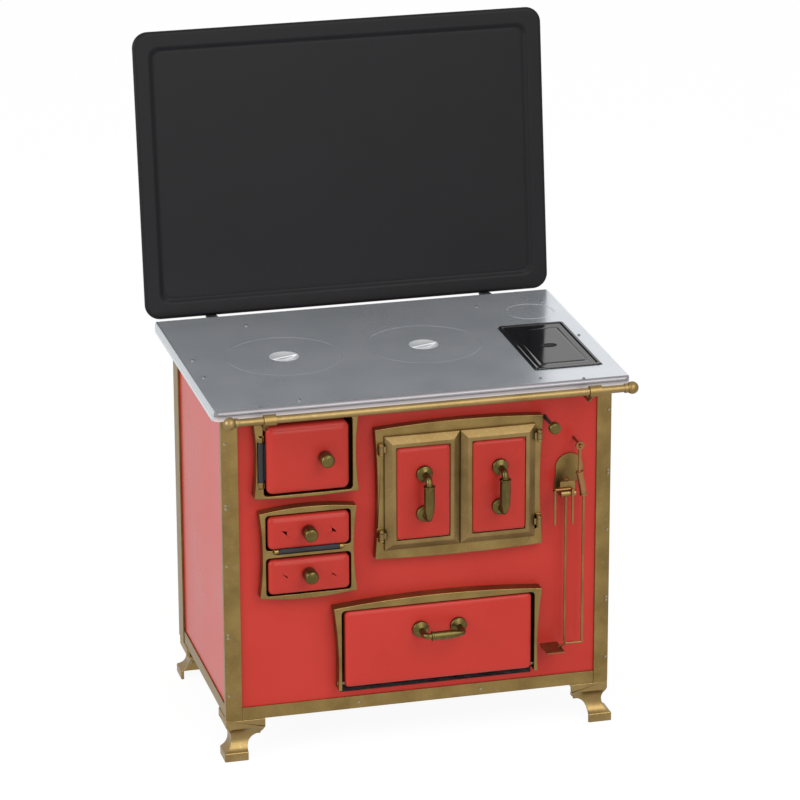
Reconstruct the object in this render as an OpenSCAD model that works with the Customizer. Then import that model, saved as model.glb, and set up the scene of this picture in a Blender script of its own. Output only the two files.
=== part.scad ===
// Wood-burning cookstove: an enamelled steel cabinet on four cast feet, with a firebox, an ash
// drawer and an air door at the left, a two-leaf oven in the middle, a water tank at the right,
// a wood compartment below, a steel cooktop and a hinged black lid that stands up behind it.
// Millimetres, +X to the right, +Y to the back, +Z up. The origin lies on the floor, under the
// centre of the whole stove's outer box.

/* [Cabinet] */
// Width over the corner posts
cab_w = 894; // [886:1:902]
// Depth over the corner posts
cab_d = 526; // [520:1:540]
// Height of the cooktop above the floor
top_z = 850; // [845:1:860]
// Height of the feet
foot_h = 96; // [92:1:98]
// Width of a corner post's face
post_w = 36; // [34:1:38]
// Thickness of the enamelled sheet panels
sheet = 2; // [1.5:0.1:2.2]

/* [Cooktop] */
// Overhang of the cooktop at each side
top_side = 28; // [25:1:30]
// Overhang of the cooktop at the front
top_front = 48; // [44:1:52]
// Overhang of the cooktop at the back
top_back = 80; // [76:1:84]
// Depth of the cooktop's rolled rim
rim_h = 22; // [20:1:24]
// Thickness of the cooktop inside its rim
top_t = 10; // [9:0.5:10]
// Diameter of a hotplate disc
hotplate_d = 262; // [255:1:264]
// Thickness of a hotplate disc
hotplate_t = 12; // [10:0.5:12]

/* [Lid] */
// Width of the black lid
lid_w = 971; // [964:1:976]
// Length of the lid from its lower edge to its upper edge
lid_len = 669; // [662:1:674]
// Thickness of the lid
lid_t = 12; // [11:0.5:13]
// Backward lean of the open lid, in degrees
lid_lean = 7.3; // [5:0.1:9]

/* [Doors] */
// Width of the firebox door
fire_door_w = 186; // [182:1:188]
// Height of the firebox door
fire_door_h = 156; // [150:1:158]
// Width of the air door and the ash drawer's front
small_door_w = 184; // [180:1:186]
// Width of one oven leaf
leaf_w = 173; // [168:1:173]
// Height of an oven leaf
leaf_h = 269; // [262:1:270]
// Width of the wood compartment's flap
flap_w = 434; // [428:1:436]
// Height of the wood compartment's flap
flap_h = 183; // [178:1:185]

/* [Handles and rail] */
// Diameter of a door knob
knob_d = 31; // [28:1:34]
// Diameter of the front rail
rail_d = 17; // [15:1:18]
// Distance of the rail's centre from the front of the cabinet
rail_out = 120; // [116:1:124]
// Length of the rail over its end caps
rail_len = 934; // [926:1:940]
// Diameter of the hand tools' steel rods
tool_rod_d = 6; // [5:0.5:6.5]

/* [Hidden] */
$fn = 48;
big_fn = 720;
e = 0.01;
gap = 0.3;
pin_fit = 0.05;

// Colours as the photograph shows them
red = [0.745, 0.259, 0.235];
brass = [0.50, 0.41, 0.25];
dark_brass = [0.36, 0.32, 0.18];
steel = [0.58, 0.60, 0.61];
black = [0.10, 0.10, 0.11];
iron = [0.22, 0.22, 0.23];
brick = [0.72, 0.60, 0.44];
zinc = [0.62, 0.63, 0.64];

// Cooktop and its supports, with every y counted from the cabinet's front plane
plate_w = cab_w + 2 * top_side;
plate_y0 = -top_front;
plate_y1 = cab_d + top_back;
under_z = top_z - top_t;
rim_z = top_z - rim_h;
plate_r = 20;
roll_r = 9;
rim_t = 8;
hole_step = 6;
hotplate_fit = 0.3;
hotplate_y = 284;
left_plate_x = -240;
right_plate_x = 85;
dish_d = 68;
dish_h = 5;
boss_t = 7;
flue_x = 384;
flue_y = 449;
flue_d = 112;
flue_t = 7;

// Lid hinge: the axis lies in the gap between the cooktop and the lid, out of sight, and the
// lid's face stands off from it by the height at which the closed lid clears the tank's lid
axis_z = top_z - 12;
axis_y = plate_y1 + 9.8;
lid_off = top_z + 11 - axis_z;
lid_low = 5;
hinge_x = 330;
knuckle_eye = 5.5;
lid_pin_r = 3;
leaf_strap_w = 24;
ear_w = 12;
lid_skin = 1.5;
lid_border = 40;
lid_r = 36;
lid_inner_r = 22;
liner_lap = 12;

// The whole stove's depth sets where the cabinet's front plane lies
clamp_r = rail_d / 2 + 4;
ball_r = rail_d / 2 + 5.5;
front_reach = rail_out + ball_r;
lid_reach = axis_y + (lid_off + lid_t) * cos(lid_lean) + (lid_low + lid_len) * sin(lid_lean);
front_y = front_reach - (front_reach + lid_reach) / 2;

// Posts, panels and rails
post_t = 5;
corner_w = 16;
corner_d = 8;
corner_l = norm([corner_w, corner_d]);
corner_in_x = corner_w + post_t * (corner_l - corner_w) / corner_d;
corner_in_y = corner_d + post_t * (corner_l - corner_d) / corner_w;
front_return = 22;
back_leg_w = 50;
panel_y = post_t;
rail_h = 30;
post_x = cab_w / 2;
side_x = post_x - post_t;
panel_z0 = foot_h + rail_h;
panel_lap = 12;
bar_w = 12;
bar_h = 8;
foot_toe = 6.5;
foot_reach = 89;

// Firebox door and its frame
fire_cx = -263;
fire_w = fire_door_w + 52;
fire_z0 = top_z - 217;
fire_h = fire_door_h + 26;
fire_out = 28;
fire_door_x0 = -355;
fire_door_z0 = top_z - 206;
fire_open_x0 = -360;
fire_open_w = fire_door_w + 15;
fire_open_z0 = top_z - 213;
fire_open_h = fire_door_h + 15;
fire_pin_x = -366;
fire_pin_out = 27;
fire_face = 42;
fire_back = 6;
barrel_r = 6.2;
barrel_z0 = top_z - 178;
barrel_h = 92;
lug_h = 13;
fire_pin_r = 3;
pin_play = 0.4;

// Air door, ash drawer and their shared frame
small_cx = -259.5;
small_w = small_door_w + 38;
small_z0 = top_z - 455.5;
small_h = 200;
small_out = 22;
small_face = 32;
small_back = 6;
small_open_w = small_door_w + 9;
air_open_z0 = top_z - 344;
air_open_h = 83;
ash_open_z0 = top_z - 452;
ash_open_h = 90;
air_pin_z = top_z - 346;
air_pin_out = 24;
air_barrel_r = 5.8;
air_barrel_w = 137;
air_lug_w = 10;
door_pin_r = 2.5;
air_door_h = air_open_h - 7;
air_door_z0 = air_open_z0 + 4;
ash_front_h = ash_open_h - 9;
ash_front_z0 = ash_open_z0 + 5;

// Oven
oven_cx = 87;
oven_w = 2 * leaf_w + 41;
oven_z0 = top_z - 390;
oven_h = leaf_h + 36.5;
oven_out = 18;
leaf_z0 = top_z - 369;
leaf_seam = 0.8;
leaf_back = 18.6;
leaf_edge = 23;
leaf_face = 36;
leaf_bevel = 18;
leaf_border = 25;
leaf_panel_face = 39;
knuckle_r = 6;
knuckle_h = 14;
knuckle_gap = 0.4;
lug_t = 6;
leaf_pin_out = 30;
leaf_pin_dx = leaf_w + leaf_seam / 2 + 8.5;
knuckle_zs = [leaf_z0 + 37, leaf_z0 + leaf_h - 28];
oven_open_w = 2 * leaf_w - 20;
oven_open_z0 = top_z - 358;
oven_open_h = leaf_h - 21;
oven_wall = 3;
oven_depth = 430;
rack_z = oven_open_z0 + 108;
rack_y0 = 56;

// Wood compartment
comp_cx = 38;
comp_w = flap_w + 50;
comp_z0 = foot_h + 57;
comp_h = flap_h + 17;
comp_out = 25;
comp_open_w = flap_w + 14;
comp_open_z0 = foot_h + 42;
comp_open_h = flap_h + 25;
flap_face = 27;
flap_back = 6;
flap_z0 = foot_h + 64;
flap_pin_z = foot_h + 72;
flap_pin_out = 14;
flap_pin_r = 4;
liner_depth = 470;

// Smoke path, ash box, tank
casing_x0 = -400;
casing_x1 = -96;
ash_tray_z0 = ash_front_z0 + 3;
casing_z0 = ash_tray_z0 - gap - 4;
casing_t = 4;
casing_y0 = panel_y + sheet;
casing_y1 = 440;
smoke_gap_z = top_z - 72;
grate_z = air_open_z0 + air_open_h + 8;
smoke_x1 = 298;
smoke_z0 = oven_open_z0 - 52;
smoke_t = 3;
smoke_y1 = 476;
hood_x1 = 438;
hood_y0 = 384;
hood_y1 = 506;
hood_z0 = top_z - 150;
damper_x = 290;
damper_z = top_z - 97;
damper_rod_d = 8;
damper_plate_y0 = 388;
damper_plate_l = 84;
damper_plate_h = 50;
damper_plate_z0 = damper_z - 6;
damper_knob_out = 62;
tank_cx = 357;
tank_cy = 199.5;
tank_w = 110;
tank_l = 270;
tank_h = 250;
tank_lid_w = 155;
tank_lid_l = 311;
tank_lid_fit = 1.5;
tank_seat = 6;
tank_flange_t = 2;

// Rail, tools
rail_z = top_z - 1;
collar_r = rail_d / 2 + 2;
collar_l = 8;
end_groove = 1.5;
tip_flat = 0.3;
ball_x = collar_l + end_groove + sqrt(ball_r * ball_r - collar_r * collar_r);
end_l = ball_x + ball_r - tip_flat;
bracket_xs = [-365, 368];
rack_cx = 331;
rack_w = 35;
rack_z0 = top_z - 272;
rack_z1 = top_z - 188;
rack_head_cx = 347.5;
rack_head_r = 32;
rack_head_z0 = top_z - 254;
rack_out = 46;
rod_out = 46;
poker_out = 30;
scraper_x = 367;
poker_x = 331;
peg_x = 357.5;
peg_z = top_z - 152;
peg_r = 3;
prong_pitch = 41;
lip_r = 7;

// Screws
screw_d = 7;
screw_h = 2.6;

// Moves children from the cabinet's front plane to the stove's own frame
module from_front() translate([0, front_y, 0]) children();

// Stands a flat shape up as a sheet whose back lies y_back behind the front plane
module upright(y_back, t) translate([0, y_back, 0]) rotate([90, 0, 0]) linear_extrude(t) children();

// A cylinder along X that starts at x
module x_cyl(x, y, z, r, l) translate([x, y, z]) rotate([0, 90, 0]) cylinder(r = r, h = l);

// A cylinder along Y that starts at y and runs to the back
module y_cyl(x, y, z, r, l) translate([x, y, z]) rotate([-90, 0, 0]) cylinder(r = r, h = l);

// A rectangle from one corner with round corners
module round_rect(w, h, r) {
    translate([r, 0]) square([w - 2 * r, h]);
    translate([0, r]) square([w, h - 2 * r]);
    for (x = [r, w - r], y = [r, h - r]) translate([x, y]) circle(r);
}

// The outline of a cast door frame: hollow sides and bulging top and bottom edges
module frame_outline(w, h, waist, top_bulge, bottom_bulge) {
    tall = h + 6;
    side_r = (tall * tall / 4 + waist * waist) / (2 * waist);
    difference() {
        intersection() {
            square([w, 2 * h], center = true);
            below_edge(w, h, top_bulge);
            mirror([0, 1]) below_edge(w, h, bottom_bulge);
        }
        for (s = [-1, 1])
            translate([s * (w / 2 - waist + side_r), 0]) circle(side_r, $fn = big_fn);
    }
}

// Everything below the top edge of a door frame, which is a shallow arc or straight
module below_edge(w, h, bulge) {
    if (bulge > 0) {
        r = (w * w / 4 + bulge * bulge) / (2 * bulge);
        translate([0, h / 2 + bulge - r]) circle(r, $fn = big_fn);
    } else translate([-w, -h]) square([2 * w, h * 3 / 2]);
}

// A turned drum knob on a short foot, with its axis along Y and its base at the given stand-off
module turned_knob(x, z, base_out, d) {
    foot_r = d * 0.42;
    foot_l = 2;
    drum_l = 37;
    edge_r = 3.5;
    translate([x, -base_out, z]) rotate([90, 0, 0]) rotate_extrude() {
        square([foot_r, foot_l + 1]);
        translate([0, foot_l]) square([d / 2 - edge_r, drum_l]);
        translate([0, foot_l + edge_r]) square([d / 2, drum_l - 2 * edge_r]);
        for (z = [foot_l + edge_r, foot_l + drum_l - edge_r])
            translate([d / 2 - edge_r, z]) circle(edge_r);
    }
}

// A bail handle along X: two round bosses, two elbows, and a thicker grip with a collar
module bail_handle(span, boss_d, neck_d, grip_d, stand) {
    bend = neck_d / 2 + 4;
    for (s = [-1, 1]) {
        translate([s * span / 2, 0, 0]) rotate([90, 0, 0]) {
            cylinder(d = boss_d, h = 9);
            cylinder(d = boss_d * 0.8, h = 11);
            cylinder(d = neck_d, h = stand - bend);
        }
        translate([s * (span / 2 - bend), -stand + bend, 0]) rotate([0, 0, s < 0 ? 180 : 270])
            rotate_extrude(angle = 90) translate([bend, 0]) circle(d = neck_d);
    }
    x_cyl(-span / 2 + bend, -stand, 0, neck_d / 2, span - 2 * bend);
    x_cyl(-span / 2 + bend + 3, -stand, 0, grip_d / 2, span - 2 * bend - 6);
    x_cyl(-span / 2 + bend + 3, -stand, 0, grip_d / 2 + 1.2, 4);
}

// A straight round bar between two points, with round ends
module round_bar(x0, y0, z0, x1, y1, z1, d) {
    v = [x1 - x0, y1 - y0, z1 - z0];
    l = norm(v);
    translate([x0, y0, z0]) {
        sphere(d = d);
        rotate([0, acos(v[2] / l), atan2(v[1], v[0])]) cylinder(d = d, h = l);
    }
    translate([x1, y1, z1]) sphere(d = d);
}

// The side view of a door: square at the back, with two round front corners
module door_side(back, face, z0, h, r) {
    translate([back, z0]) square([face - back - r, h]);
    translate([back, z0 + r]) square([face - back, h - 2 * r]);
    for (z = [z0 + r, z0 + h - r]) translate([face - r, z]) circle(r);
}

// A cast door with round corners and a soft front edge all round
module soft_door(x0, w, z0, h, back, face, corner_r, edge_r) {
    intersection() {
        upright(-back, face - back) translate([x0, z0]) round_rect(w, h, corner_r);
        translate([x0 - 1, 0, 0]) rotate([90, 0, 90]) linear_extrude(w + 2) mirror([1, 0])
            door_side(back, face, z0, h, edge_r);
        translate([0, 0, z0 - 1]) linear_extrude(h + 2) rotate(-90)
            door_side(back, face, x0, w, edge_r);
    }
}

// The outline of the front and back sheets, which lap behind the posts and the base rails
module cabinet_sheet(half_w) {
    translate([-half_w, panel_z0 - panel_lap]) square([2 * half_w, under_z - panel_z0 + panel_lap]);
}

// The front panel, pressed from one sheet, with an opening behind every door
module front_panel() {
    color(red) from_front() upright(panel_y + sheet, sheet) difference() {
        cabinet_sheet(post_x - corner_in_x - gap);
        translate([fire_open_x0, fire_open_z0]) square([fire_open_w, fire_open_h]);
        translate([small_cx - small_open_w / 2, ash_open_z0])
            square([small_open_w, air_open_z0 + air_open_h - ash_open_z0]);
        translate([oven_cx - oven_open_w / 2, oven_open_z0]) square([oven_open_w, oven_open_h]);
        translate([comp_cx - comp_open_w / 2, comp_open_z0]) square([comp_open_w, comp_open_h]);
        translate([damper_x, damper_z]) circle(damper_rod_d / 2 + 1);
    }
}

// A side panel, whose edges lie against the inner faces of the posts
module side_panel(s) {
    y0 = corner_in_y + gap;
    translate([s < 0 ? -side_x : side_x - sheet, y0, panel_z0 - panel_lap])
        cube([sheet, cab_d - post_t - gap - y0, under_z - panel_z0 + panel_lap]);
}
module left_side_panel() color(red) from_front() side_panel(-1);
module right_side_panel() color(red) from_front() side_panel(1);

// The plain back sheet
module back_panel() {
    color(red) from_front() upright(cab_d - post_t, sheet) cabinet_sheet(side_x - sheet - gap);
}

// A front corner post in plan: a flat face, a wide chamfer and a short return at the side
module front_posts() {
    color(brass) from_front() for (s = [-1, 1])
        translate([s * post_x, 0, foot_h]) mirror([s < 0 ? 0 : 1, 0, 0])
            linear_extrude(under_z - foot_h) polygon([
                [post_w, 0], [corner_w, 0], [0, corner_d], [0, front_return],
                [post_t, front_return], [post_t, corner_in_y], [corner_in_x, post_t], [post_w, post_t]
            ]);
}

// A back corner post in plan: an angle with its wide leg on the side
module back_posts() {
    color(brass) from_front() for (s = [-1, 1])
        translate([s * post_x, cab_d, foot_h]) mirror([0, 1, 0]) mirror([s < 0 ? 0 : 1, 0, 0])
            linear_extrude(under_z - foot_h) polygon([
                [0, 0], [0, back_leg_w], [post_t, back_leg_w], [post_t, post_t],
                [post_w, post_t], [post_w, 0]
            ]);
}

// The four base rails between the posts, each a little behind the posts' faces
module base_rails() {
    inner = post_x - post_w - gap;
    step = 1;
    side_step = 2;
    side_y0 = front_return + gap;
    color(brass) from_front() {
        for (y = [step, cab_d - post_t])
            translate([-inner, y, foot_h]) cube([2 * inner, post_t - step, rail_h]);
        for (x = [-post_x + side_step, side_x])
            translate([x, side_y0, foot_h])
                cube([post_t - side_step, cab_d - back_leg_w - gap - side_y0, rail_h]);
    }
}

// The two inner bars that carry the front and the back of the cooktop
module top_rails() {
    half = post_x - corner_in_x - gap;
    color(iron) from_front() for (y = [panel_y + sheet, cab_d - post_t - sheet - bar_w])
        translate([-half, y, under_z - bar_h]) cube([2 * half, bar_w, bar_h]);
}

// The floor of the cabinet
module bottom_pan() {
    half = post_x - corner_in_x - gap;
    color(iron) from_front() translate([-half, panel_y + sheet, foot_h + rail_h - 2 * sheet])
        cube([2 * half, cab_d - 2 * (panel_y + sheet), sheet]);
}

// A foot's outer edge, seen from the front, and everything inside it from z0 up: a toe under the
// post, a round waist and a straight shoulder whose face is the post's own at x = 0
module foot_outer(z0) {
    waist_x = 12.5;
    waist_r = 33;
    waist_z = 50;
    shoulder_z0 = 65;
    difference() {
        translate([-foot_toe, z0]) square([foot_reach + foot_toe, foot_h - z0]);
        translate([waist_x - waist_r, waist_z]) circle(waist_r);
        translate([-foot_toe - 1, shoulder_z0]) square([foot_toe + 1, foot_h]);
    }
}

// The whole profile of a cast foot: its inner edge rises from a pad in a hollow curve to a round
// shoulder under the base rail
module foot_profile() {
    pad_in = 48;
    pad_h = 25;
    curve_r = 32;
    shoulder_r = 19;
    shoulder_z = pad_h + curve_r;
    intersection() {
        foot_outer(0);
        union() {
            difference() {
                translate([-foot_toe - 1, -1]) square([pad_in + curve_r + foot_toe + 1, shoulder_z + 2]);
                translate([pad_in + curve_r, pad_h]) circle(curve_r);
                translate([pad_in, -2]) square([2 * curve_r, pad_h + 2]);
            }
            translate([-foot_toe - 1, shoulder_z])
                square([foot_reach + foot_toe + 1 - shoulder_r, foot_h - shoulder_z + 1]);
            translate([0, shoulder_z + shoulder_r]) square([foot_reach, foot_h]);
            translate([foot_reach - shoulder_r, shoulder_z + shoulder_r]) circle(shoulder_r);
        }
    }
}

// A flat shape of the front view, carried through the foot from front to back
module foot_deep() translate([0, foot_reach, 0]) rotate([90, 0, 0])
    linear_extrude(foot_reach + foot_toe) children();

// A flat shape of the side view, carried through the foot from its outer side inwards
module foot_wide() translate([-foot_toe, 0, 0]) rotate([90, 0, 90])
    linear_extrude(foot_reach + foot_toe) children();

// One cast bracket foot: the same profile in both directions, hollow behind its two thin walls,
// with the post's chamfer running down its shoulder
module foot() {
    wall = 7;
    roof_t = 8;
    chamfer_z0 = 60;
    difference() {
        intersection() {
            foot_deep() foot_profile();
            foot_wide() foot_profile();
        }
        intersection() {
            translate([wall, wall, 0]) intersection() {
                foot_deep() foot_outer(-1);
                foot_wide() foot_outer(-1);
            }
            translate([-1, -1, -2]) cube([2 * foot_reach, 2 * foot_reach, foot_h + 2 - roof_t]);
        }
        translate([0, 0, chamfer_z0]) linear_extrude(foot_h) polygon([
            [-1, -1], [corner_w * (1 + 1 / corner_d), -1], [-1, corner_d * (1 + 1 / corner_w)]
        ]);
    }
}
module feet() {
    color(brass) from_front() for (sx = [-1, 1], sy = [0, 1])
        translate([sx * post_x, sy * cab_d, 0]) mirror([0, sy, 0])
            mirror([sx < 0 ? 0 : 1, 0, 0]) foot();
}

// The edge profile of the cooktop: a slab whose two upper corners are rolled
module rolled_slab(l) {
    square([l, top_t - roll_r]);
    translate([roll_r, 0]) square([l - 2 * roll_r, top_t]);
    for (x = [roll_r, l - roll_r]) translate([x, top_t - roll_r]) circle(roll_r);
}

// The cooktop: a plate with rolled edges, stepped holes for the hotplates and the flue cover and
// a sunk seat for the water tank, and the four bars of the rim below it
module cooktop_plate() {
    d = plate_y1 - plate_y0;
    seat_w = tank_lid_w + 2 * tank_lid_fit;
    seat_l = tank_lid_l + 2 * tank_lid_fit;
    color(steel) from_front() difference() {
        union() {
            translate([-plate_w / 2, plate_y0, under_z]) intersection() {
                linear_extrude(top_t) round_rect(plate_w, d, plate_r);
                translate([0, d, 0]) rotate([90, 0, 0]) linear_extrude(d) rolled_slab(plate_w);
                rotate([90, 0, 90]) linear_extrude(plate_w) rolled_slab(d);
            }
            for (x = [left_plate_x, right_plate_x])
                translate([x, hotplate_y, under_z - boss_t])
                    cylinder(d = hotplate_d + 16, h = boss_t + 1, $fn = 96);
            translate([flue_x, flue_y, under_z - 4]) cylinder(d = flue_d - 4, h = 5, $fn = 96);
        }
        for (x = [left_plate_x, right_plate_x]) translate([x, hotplate_y, 0]) {
            translate([0, 0, top_z - hotplate_t - gap])
                cylinder(d = hotplate_d + 2 * hotplate_fit, h = 30, $fn = 96);
            translate([0, 0, top_z - 40]) cylinder(d = hotplate_d - 2 * hole_step, h = 50, $fn = 96);
        }
        translate([flue_x, flue_y, top_z - flue_t - gap])
            cylinder(d = flue_d + 2 * hotplate_fit, h = 20, $fn = 96);
        translate([flue_x, flue_y, top_z - 40]) cylinder(d = flue_d - 12, h = 50, $fn = 96);
        translate([tank_cx - tank_w / 2 - 1.5, tank_cy - tank_l / 2 - 1.5, top_z - 40])
            cube([tank_w + 3, tank_l + 3, 50]);
        translate([tank_cx - seat_w / 2, tank_cy - seat_l / 2, top_z - tank_seat])
            cube([seat_w, seat_l, 2 * tank_seat]);
    }
    color(steel) from_front() for (side = [0, 1]) translate([-plate_w / 2, plate_y0, rim_z]) {
        rim_bar(0, side * (d - rim_t), plate_w, rim_t);
        rim_bar(side * (plate_w - rim_t), rim_t + gap, rim_t, d - 2 * (rim_t + gap));
    }
}

// One bar of the cooktop's rim, cut out of the plate's outline
module rim_bar(x0, y0, w, l) {
    linear_extrude(rim_h - top_t - gap) intersection() {
        round_rect(plate_w, plate_y1 - plate_y0, plate_r);
        translate([x0, y0]) square([w, l]);
    }
}

// A lift-off disc with a dished finger grip under a cross bar
module lift_disc(x, y, d, t, grip_d) {
    translate([x, y, top_z - t]) difference() {
        cylinder(d = d, h = t, $fn = 96);
        difference() {
            translate([0, 0, t - dish_h]) cylinder(d = grip_d, h = dish_h + 1);
            rotate([0, 0, 20]) translate([-grip_d, -3, t - dish_h - 1]) cube([2 * grip_d, 6, dish_h + 1]);
        }
    }
}
module left_hotplate() {
    color(steel) from_front() lift_disc(left_plate_x, hotplate_y, hotplate_d, hotplate_t, dish_d);
}
module right_hotplate() {
    color(steel) from_front() lift_disc(right_plate_x, hotplate_y, hotplate_d, hotplate_t, dish_d);
}
module flue_cover() {
    color(steel) from_front() translate([flue_x, flue_y, top_z - flue_t])
        cylinder(d = flue_d, h = flue_t, $fn = 96);
}

// The water tank, hung by its flange in the cooktop's sunk seat
module water_tank() {
    wall = 2;
    lap = 8;
    h = tank_h - tank_seat;
    color(zinc) from_front() translate([tank_cx - tank_w / 2, tank_cy - tank_l / 2, top_z - tank_h])
        difference() {
            union() {
                cube([tank_w, tank_l, h]);
                translate([-lap, -lap, h]) cube([tank_w + 2 * lap, tank_l + 2 * lap, tank_flange_t]);
            }
            translate([wall, wall, wall]) cube([tank_w - 2 * wall, tank_l - 2 * wall, tank_h]);
        }
}

// The tank's pressed lid with a raised edge, a sunk groove and an oval finger grip
module tank_lid() {
    w = tank_lid_w;
    l = tank_lid_l;
    t = 6.5;
    edge = 8;
    field_z = 4.8;
    groove_z = 3.6;
    groove_in = [24, 36];
    groove_w = 3;
    grip_l = 38;
    grip_z = 2.6;
    z0 = top_z - tank_seat + tank_flange_t + gap;
    color(black) from_front() translate([tank_cx - w / 2, tank_cy - l / 2, z0]) difference() {
        linear_extrude(t) round_rect(w, l, 10);
        translate([edge, edge, field_z]) linear_extrude(t)
            round_rect(w - 2 * edge, l - 2 * edge, 8);
        translate([groove_in[0], groove_in[1], groove_z]) linear_extrude(t) difference() {
            round_rect(w - 2 * groove_in[0], l - 2 * groove_in[1], 6);
            translate([groove_w, groove_w])
                round_rect(w - 2 * (groove_in[0] + groove_w), l - 2 * (groove_in[1] + groove_w), 4);
        }
        translate([w / 2, l / 2, grip_z]) scale([1, 0.62, 1]) cylinder(d = grip_l, h = t);
    }
}

// The firebox column, of flat sheets with a small gap between them: a floor, a left and a back
// wall, a right wall open above to the smoke casing, a front wall with two openings, and the
// shelf that carries the grate
module firebox_casing() {
    w = casing_x1 - casing_x0;
    d = casing_y1 - casing_y0;
    t = casing_t;
    top_h = under_z - boss_t - 4 - casing_z0;
    in_x0 = t + gap;
    in_x1 = w - t - gap;
    wall_z0 = t + gap;
    window_z = smoke_gap_z - casing_z0;
    window_side = 40;
    shelf_z = grate_z - casing_z0 - t;
    hole = [60, 90, 240, 340];
    small_x0 = small_cx - small_open_w / 2 - casing_x0;
    fire_x0 = fire_open_x0 - casing_x0;
    front_zs = [wall_z0, air_open_z0 + air_open_h - casing_z0, fire_open_z0 - casing_z0,
        fire_open_z0 + fire_open_h - casing_z0, top_h];
    color(iron) from_front() translate([casing_x0, casing_y0, casing_z0]) {
        cube([w, d, t]);
        sheet_box(0, t, 0, d, wall_z0, top_h);
        sheet_box(in_x0, in_x1, d - t, d, wall_z0, top_h);
        sheet_box(w - t, w, 0, d, wall_z0, window_z);
        for (y = [0, d - window_side]) sheet_box(w - t, w, y, y + window_side, window_z + gap, top_h);
        for (i = [1, 3])
            sheet_box(in_x0, in_x1, 0, t, front_zs[i] + gap, front_zs[i + 1] - (i < 3 ? gap : 0));
        for (o = [[small_x0, small_open_w, 0], [fire_x0, fire_open_w, 2]]) {
            sheet_box(in_x0, o[0], 0, t, front_zs[o[2]], front_zs[o[2] + 1]);
            sheet_box(o[0] + o[1], in_x1, 0, t, front_zs[o[2]], front_zs[o[2] + 1]);
        }
        for (y = [[t + gap, hole[1]], [hole[3], d - t - gap]])
            sheet_box(in_x0, in_x1, y[0], y[1], shelf_z, shelf_z + t);
        for (x = [[in_x0, hole[0]], [hole[2], in_x1]])
            sheet_box(x[0], x[1], hole[1] + gap, hole[3] - gap, shelf_z, shelf_z + t);
    }
}

// A box between two values on each axis
module sheet_box(x0, x1, y0, y1, z0, z1) translate([x0, y0, z0]) cube([x1 - x0, y1 - y0, z1 - z0]);

// Firebricks along both sides and the back of the fire
module firebricks() {
    th = 30;
    h = smoke_gap_z - grate_z - 2;
    z0 = grate_z;
    x0 = casing_x0 + casing_t;
    x1 = casing_x1 - casing_t;
    y0 = casing_y0 + casing_t + 34;
    y1 = casing_y1 - casing_t;
    color(brick) from_front() {
        for (x = [x0, x1 - th]) translate([x, y0, z0]) cube([th, y1 - y0, h]);
        translate([x0 + th + 0.3, y1 - th, z0]) cube([x1 - x0 - 2 * th - 0.6, th, h]);
    }
}

// The slotted cast grate that the fire burns on
module fire_grate() {
    w = 200;
    l = 274;
    t = 12;
    y0 = 84;
    slots = 9;
    slot_w = 10;
    border = 16;
    pitch = w / (slots + 1);
    color(iron) from_front() translate([(casing_x0 + casing_x1) / 2 - w / 2, y0, grate_z + 0.2])
        difference() {
            cube([w, l, t]);
            for (i = [1:slots])
                translate([i * pitch - slot_w / 2, border, -1]) cube([slot_w, l - 2 * border, t + 2]);
        }
}

// The ash drawer: a tray of five flat sheets, an enamelled front and a knob
module ash_drawer_box() {
    w = small_door_w - 6;
    l = 380;
    h = 66;
    wall = 2;
    wall_z0 = wall + gap;
    color(iron) from_front() translate([small_cx - w / 2, -small_back, ash_tray_z0]) {
        cube([w, l, wall]);
        for (x = [0, w - wall]) sheet_box(x, x + wall, 0, l, wall_z0, h);
        for (y = [0, l - wall]) sheet_box(wall + gap, w - wall - gap, y, y + wall, wall_z0, h);
    }
}
module ash_drawer_front() {
    color(red) from_front() soft_door(small_cx - small_door_w / 2, small_door_w,
        ash_front_z0, ash_front_h, small_back, small_face, 10, 9);
}
module ash_drawer_knob() {
    color(dark_brass) from_front()
        turned_knob(small_cx - 3, ash_front_z0 + ash_front_h / 2 + 7, small_face, knob_d);
}

// The smoke casing round the oven, with the hood under the flue cover
module smoke_casing() {
    x0 = casing_x1 + 0.5;
    t = smoke_t;
    w = smoke_x1 - x0;
    y0 = panel_y + sheet;
    z1 = under_z - boss_t - 4;
    hood_top = under_z - 5;
    color(iron) from_front() difference() {
        union() {
            translate([x0, y0, smoke_z0]) cube([w, smoke_y1 - y0, t]);
            translate([smoke_x1 - t, y0, smoke_z0]) cube([t, hood_y1 - y0, z1 - smoke_z0]);
            translate([x0, smoke_y1 - t, smoke_z0]) cube([w, t, z1 - smoke_z0]);
            difference() {
                translate([smoke_x1 - t, hood_y0, hood_z0])
                    cube([hood_x1 - smoke_x1 + t, hood_y1 - hood_y0, hood_top - hood_z0]);
                translate([smoke_x1, hood_y0 + t, hood_z0 + t])
                    cube([hood_x1 - smoke_x1 - t, hood_y1 - hood_y0 - 2 * t, 400]);
            }
            for (z = [damper_plate_z0 - gap - 3, damper_plate_z0 + damper_plate_h + gap])
                translate([damper_x - 5, damper_plate_y0 - 60, z])
                    cube([smoke_x1 - damper_x + 4, 60 + damper_plate_l, 3]);
        }
        translate([smoke_x1 - 2 * t, hood_y0 + 20, damper_z - 2]) cube([3 * t, 80, 42]);
        translate([smoke_x1 - 2 * t, hood_y0 + 20, hood_z0 + 6]) cube([3 * t, 60, 28]);
    }
}

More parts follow.
